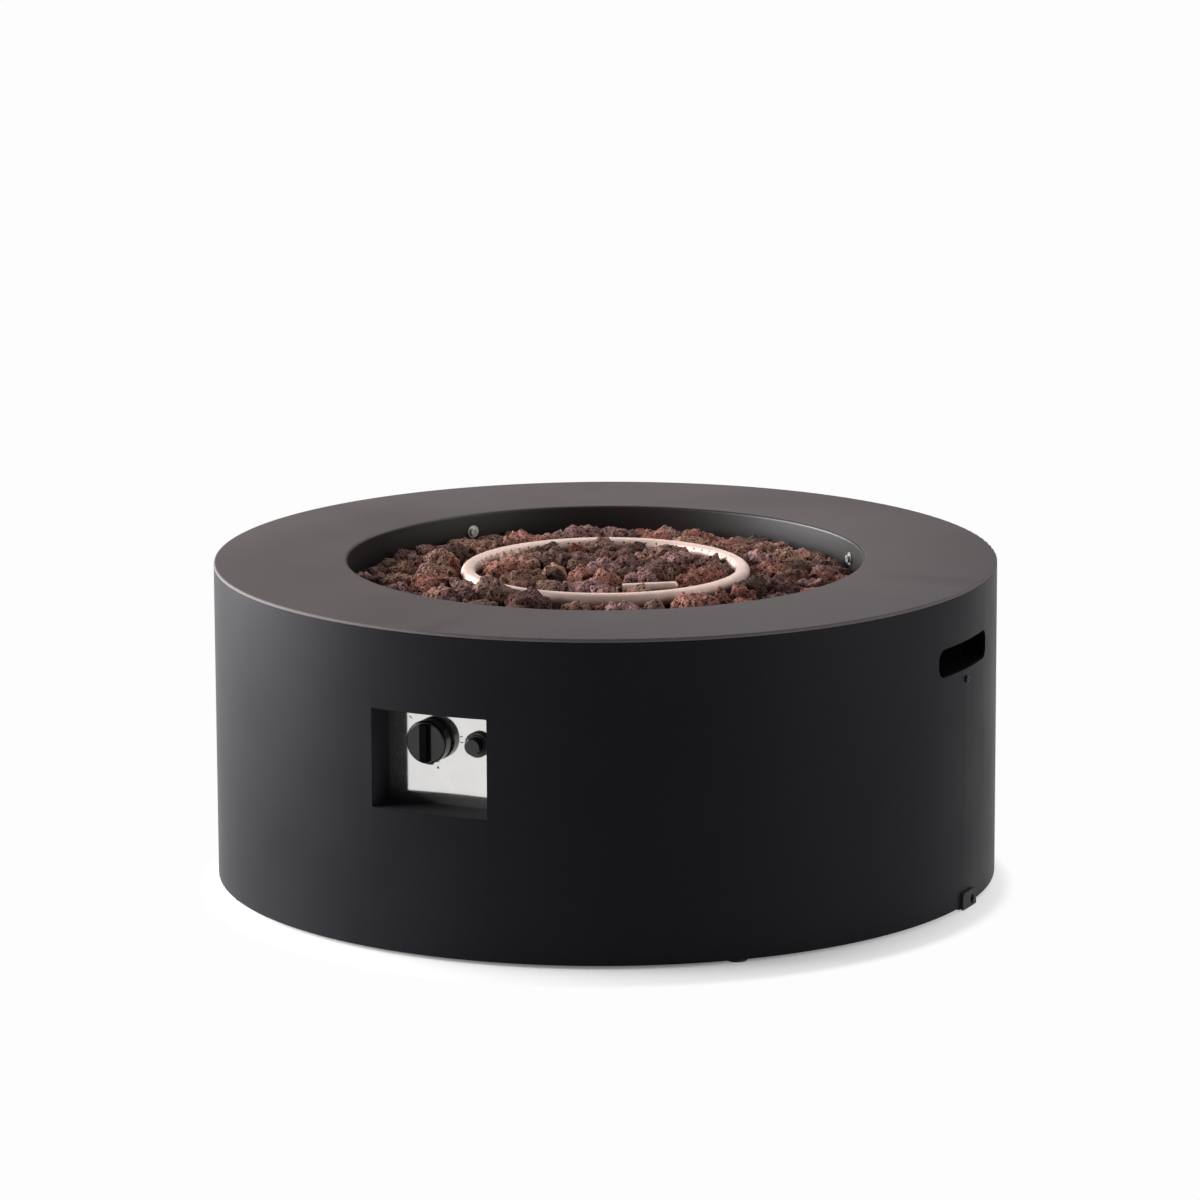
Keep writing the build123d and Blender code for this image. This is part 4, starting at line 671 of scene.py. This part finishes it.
class FIREPIT_OT_drum(bpy.types.Operator):
    """Finish the drum's wall, hoops, feet, liners and fasteners"""

    bl_idname = "firepit.drum"
    bl_label = "Drum"

    def execute(self, context):
        finish = context.scene.firepit_finish
        dress(["body_wall", "top_hoop", "base_hoop"],
              powder_coat("satin black powder coat", finish.wall_colour, linear("#17161a"), roughness=0.42,
                          ior=1.14, peel_mm=1.8))
        dress(["control_box"],
              powder_coat("matt black powder coat", linear("#2c2c2f"), linear("#323235"), roughness=0.75,
                          ior=1.1, peel_mm=1.8))
        # Near-pure black, darker than the plastic itself: painted shade inside the hand slots.
        dress(["handle_liner_left", "handle_liner_right"],
              moulded("grained black polypropylene with painted slot shade", linear("#020202"), linear("#030303"), roughness=0.9,
                      grain_mm=0.8, depth=0.2, ior=1.15))
        dress(["feet", "hose_grommet"],
              moulded("black nitrile rubber", linear("#111111"), linear("#1d1c1c"), roughness=0.75,
                      grain_mm=1.1, depth=0.25))
        dress(["handle_screws"],
              worked_metal("black oxide steel", linear("#1a1a1c"), linear("#2a292b"), roughness=0.42,
                           grain_mm=1.0, depth=0.1))
        dress(["top_nuts", "handle_nuts", "panel_screws"], zinc_plate())
        return {"FINISHED"}


class FIREPIT_OT_top(bpy.types.Operator):
    """Finish the grey top ring"""

    bl_idname = "firepit.top"
    bl_label = "Top"

    def execute(self, context):
        finish = context.scene.firepit_finish
        coat = powder_coat("fine-textured grey powder coat", finish.top_colour, linear("#5d5758"),
                           roughness=0.6, ior=1.12, peel_mm=1.4)
        # The coat turns near black from the lip's turn inwards: the pan's stove-paint colour together with
        # painted shade.
        lip_inset = 1.5 * MM
        paint_shade_inside_lip(coat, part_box("burner_pan")[1].x - lip_inset, linear("#1a1516"))
        dress(["top_ring"], coat)
        return {"FINISHED"}


class FIREPIT_OT_controls(bpy.types.Operator):
    """Finish the panel, the knob and the igniter, and print plain index marks"""

    bl_idname = "firepit.controls"
    bl_label = "Controls"

    def execute(self, context):
        finish = context.scene.firepit_finish
        dress(["control_panel"],
              worked_metal("polished stainless sheet", linear("#dedcda"), linear("#e2e0de"), roughness=0.08,
                           grain_mm=0.9, depth=0.02, stretch=(0.03, 1, 1), metallic=0.95))
        phenolic = moulded("glossy black phenolic", finish.plastic_colour, linear("#141415"), roughness=0.2,
                           grain_mm=3.0, depth=0.03)
        low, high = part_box("knob")
        soft_depth = 5.4 * MM
        soften_front(phenolic, low.y + soft_depth, linear("#060606"))
        dress(["knob", "igniter_button"], phenolic)
        dress(["igniter_collar", "igniter_barrel"],
              moulded("moulded black nylon", linear("#0f0f10"), linear("#191919"), roughness=0.45,
                      grain_mm=1.0, depth=0.15))
        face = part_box("control_panel")[0].y
        ink_gap, ink_front = 0.005 * MM, 0.06 * MM
        centre = np.array(((low.x + high.x) / 2, high.z - (high.x - low.x) / 2))
        points, faces = upright_plates(index_marks(centre), face - ink_gap, face - ink_front)
        ink = moulded("black pad-print ink", linear("#141414"), linear("#1c1c1c"), roughness=0.5,
                      grain_mm=1.0, depth=0.05)
        piece("index_marks", points, faces, ink, "drum")
        return {"FINISHED"}


class FIREPIT_OT_burner(bpy.types.Operator):
    """Finish the pan, the ring burner and what stands in the pan"""

    bl_idname = "firepit.burner"
    bl_label = "Burner"

    def execute(self, context):
        finish = context.scene.firepit_finish
        dress(["burner_pan"], heat_proof_paint("black stove paint", finish.pan_colour, linear("#363031")))
        dress(["ring_burner", "burner_legs", "ignition_hood", "hood_strap", "spark_electrode",
               "flame_probe"],
              worked_metal("bead-blasted stainless tube", finish.steel_colour, linear("#d8c0b6"),
                           roughness=0.7, grain_mm=0.7, depth=0.06))
        dress(["electrode_insulator"],
              moulded("white alumina", linear("#d9d4c8"), linear("#c7bfb0"), roughness=0.4,
                      grain_mm=1.5, depth=0.1))
        dress(["pan_screws", "pan_washers", "pan_nuts", "inlet_locknut", "push_clips"], zinc_plate())
        return {"FINISHED"}


class FIREPIT_OT_gas(bpy.types.Operator):
    """Finish the valve, the tube, the leads and what is hidden with them"""

    bl_idname = "firepit.gas"
    bl_label = "Gas and spark"

    def execute(self, context):
        dress(["gas_valve", "air_mixer", "supply_tube"],
              worked_metal("cast and drawn aluminium", linear("#a3a3a1"), linear("#b3b2ae"), roughness=0.42,
                           grain_mm=0.9, depth=0.2))
        dress(["gas_inlet", "probe_nut", "gas_jet", "tube_nuts"],
              worked_metal("turned brass", linear("#b8944f"), linear("#a98444"), roughness=0.28,
                           grain_mm=0.5, depth=0.1, stretch=(1, 1, 8)))
        dress(["capillary_lead"],
              worked_metal("copper capillary", linear("#b0714f"), linear("#94583d"), roughness=0.34,
                           grain_mm=0.6, depth=0.08))
        dress(["spark_lead"],
              moulded("black silicone sleeve", linear("#151515"), linear("#202020"), roughness=0.55,
                      grain_mm=1.2, depth=0.12))
        dress(["battery"],
              moulded("plain lacquered can", linear("#26282c"), linear("#30333a"), roughness=0.3,
                      grain_mm=4.0, depth=0.02))
        dress(["valve_stem", "spring_seat", "stem_spring", "valve_screws", "igniter_spring"], zinc_plate())
        for spring, joint, travel in (("stem_spring", "knob_push", 4 * MM),
                                      ("igniter_spring", "igniter_push", 6 * MM)):
            shorten(spring)
        return {"FINISHED"}


class FIREPIT_OT_rock(bpy.types.Operator):
    """Swap the plain stone blocks for porous lava rock"""

    bl_idname = "firepit.rock"
    bl_label = "Lava rock"

    def execute(self, context):
        rock = context.scene.firepit_rock
        # The last colour of each finish is painted shade for the inside of the pores.
        finishes = (("red", rock.red, "#9e6c60", "#150502"), ("brown", rock.brown, "#9c7667", "#150602"),
                    ("dark", rock.dark, "#7f6056", "#100402"), ("violet", rock.violet, "#987370", "#140503"))
        for seed, (colour, skin, pale, pore_shade) in enumerate(finishes):
            node = "lava_rocks_" + colour
            points, faces, tones = porous_stones(node, rock, seed)
            material = lava(colour + " scoria", skin, linear(pale), linear(pore_shade))
            stones = piece("lava_stones_" + colour, points, faces, material, "drum")
            stones.data.attributes.new("tone", "FLOAT", "POINT").data.foreach_set("value", tones)
            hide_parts(node)
        return {"FINISHED"}


class FIREPIT_OT_stage(bpy.types.Operator):
    """Set the camera, the pale floor and the studio light"""

    bl_idname = "firepit.stage"
    bl_label = "Stage"

    def execute(self, context):
        stage = context.scene.firepit_stage
        place_camera(context.scene, stage)
        lay_floor(stage)
        light_studio(context.scene, stage)
        context.scene.view_settings.view_transform = "Standard"
        return {"FINISHED"}


class FIREPIT_PT_tools(bpy.types.Panel):
    """List the steps and the settings"""

    bl_idname = "FIREPIT_PT_tools"
    bl_label = "Fire Pit"
    bl_space_type = "VIEW_3D"
    bl_region_type = "UI"
    bl_category = "Fire Pit"

    def draw(self, context):
        for step in STEPS:
            self.layout.operator(step.bl_idname)
        for group in SETTINGS:
            settings = getattr(context.scene, group)
            box = self.layout.box()
            for name in settings.__annotations__:
                box.prop(settings, name)


STEPS = (FIREPIT_OT_drum, FIREPIT_OT_top, FIREPIT_OT_controls, FIREPIT_OT_burner, FIREPIT_OT_gas,
         FIREPIT_OT_rock, FIREPIT_OT_stage)
SETTINGS = {"firepit_finish": FIREPIT_PG_finish, "firepit_rock": FIREPIT_PG_rock,
            "firepit_stage": FIREPIT_PG_stage}


def register():
    """Register the settings, the steps and the panel, and hang the settings on the scene."""
    for item in (*SETTINGS.values(), *STEPS, FIREPIT_PT_tools):
        bpy.utils.register_class(item)
    for name, group in SETTINGS.items():
        setattr(bpy.types.Scene, name, bpy.props.PointerProperty(type=group))


def unregister():
    """Take everything off again in reverse order."""
    for name in SETTINGS:
        delattr(bpy.types.Scene, name)
    for item in reversed((*SETTINGS.values(), *STEPS, FIREPIT_PT_tools)):
        bpy.utils.unregister_class(item)


def main():
    """Register the steps and run every step in order."""
    register()
    bpy.ops.firepit.drum()
    bpy.ops.firepit.top()
    bpy.ops.firepit.controls()
    bpy.ops.firepit.burner()
    bpy.ops.firepit.gas()
    bpy.ops.firepit.rock()
    bpy.ops.firepit.stage()


if __name__ == "__main__":
    main()
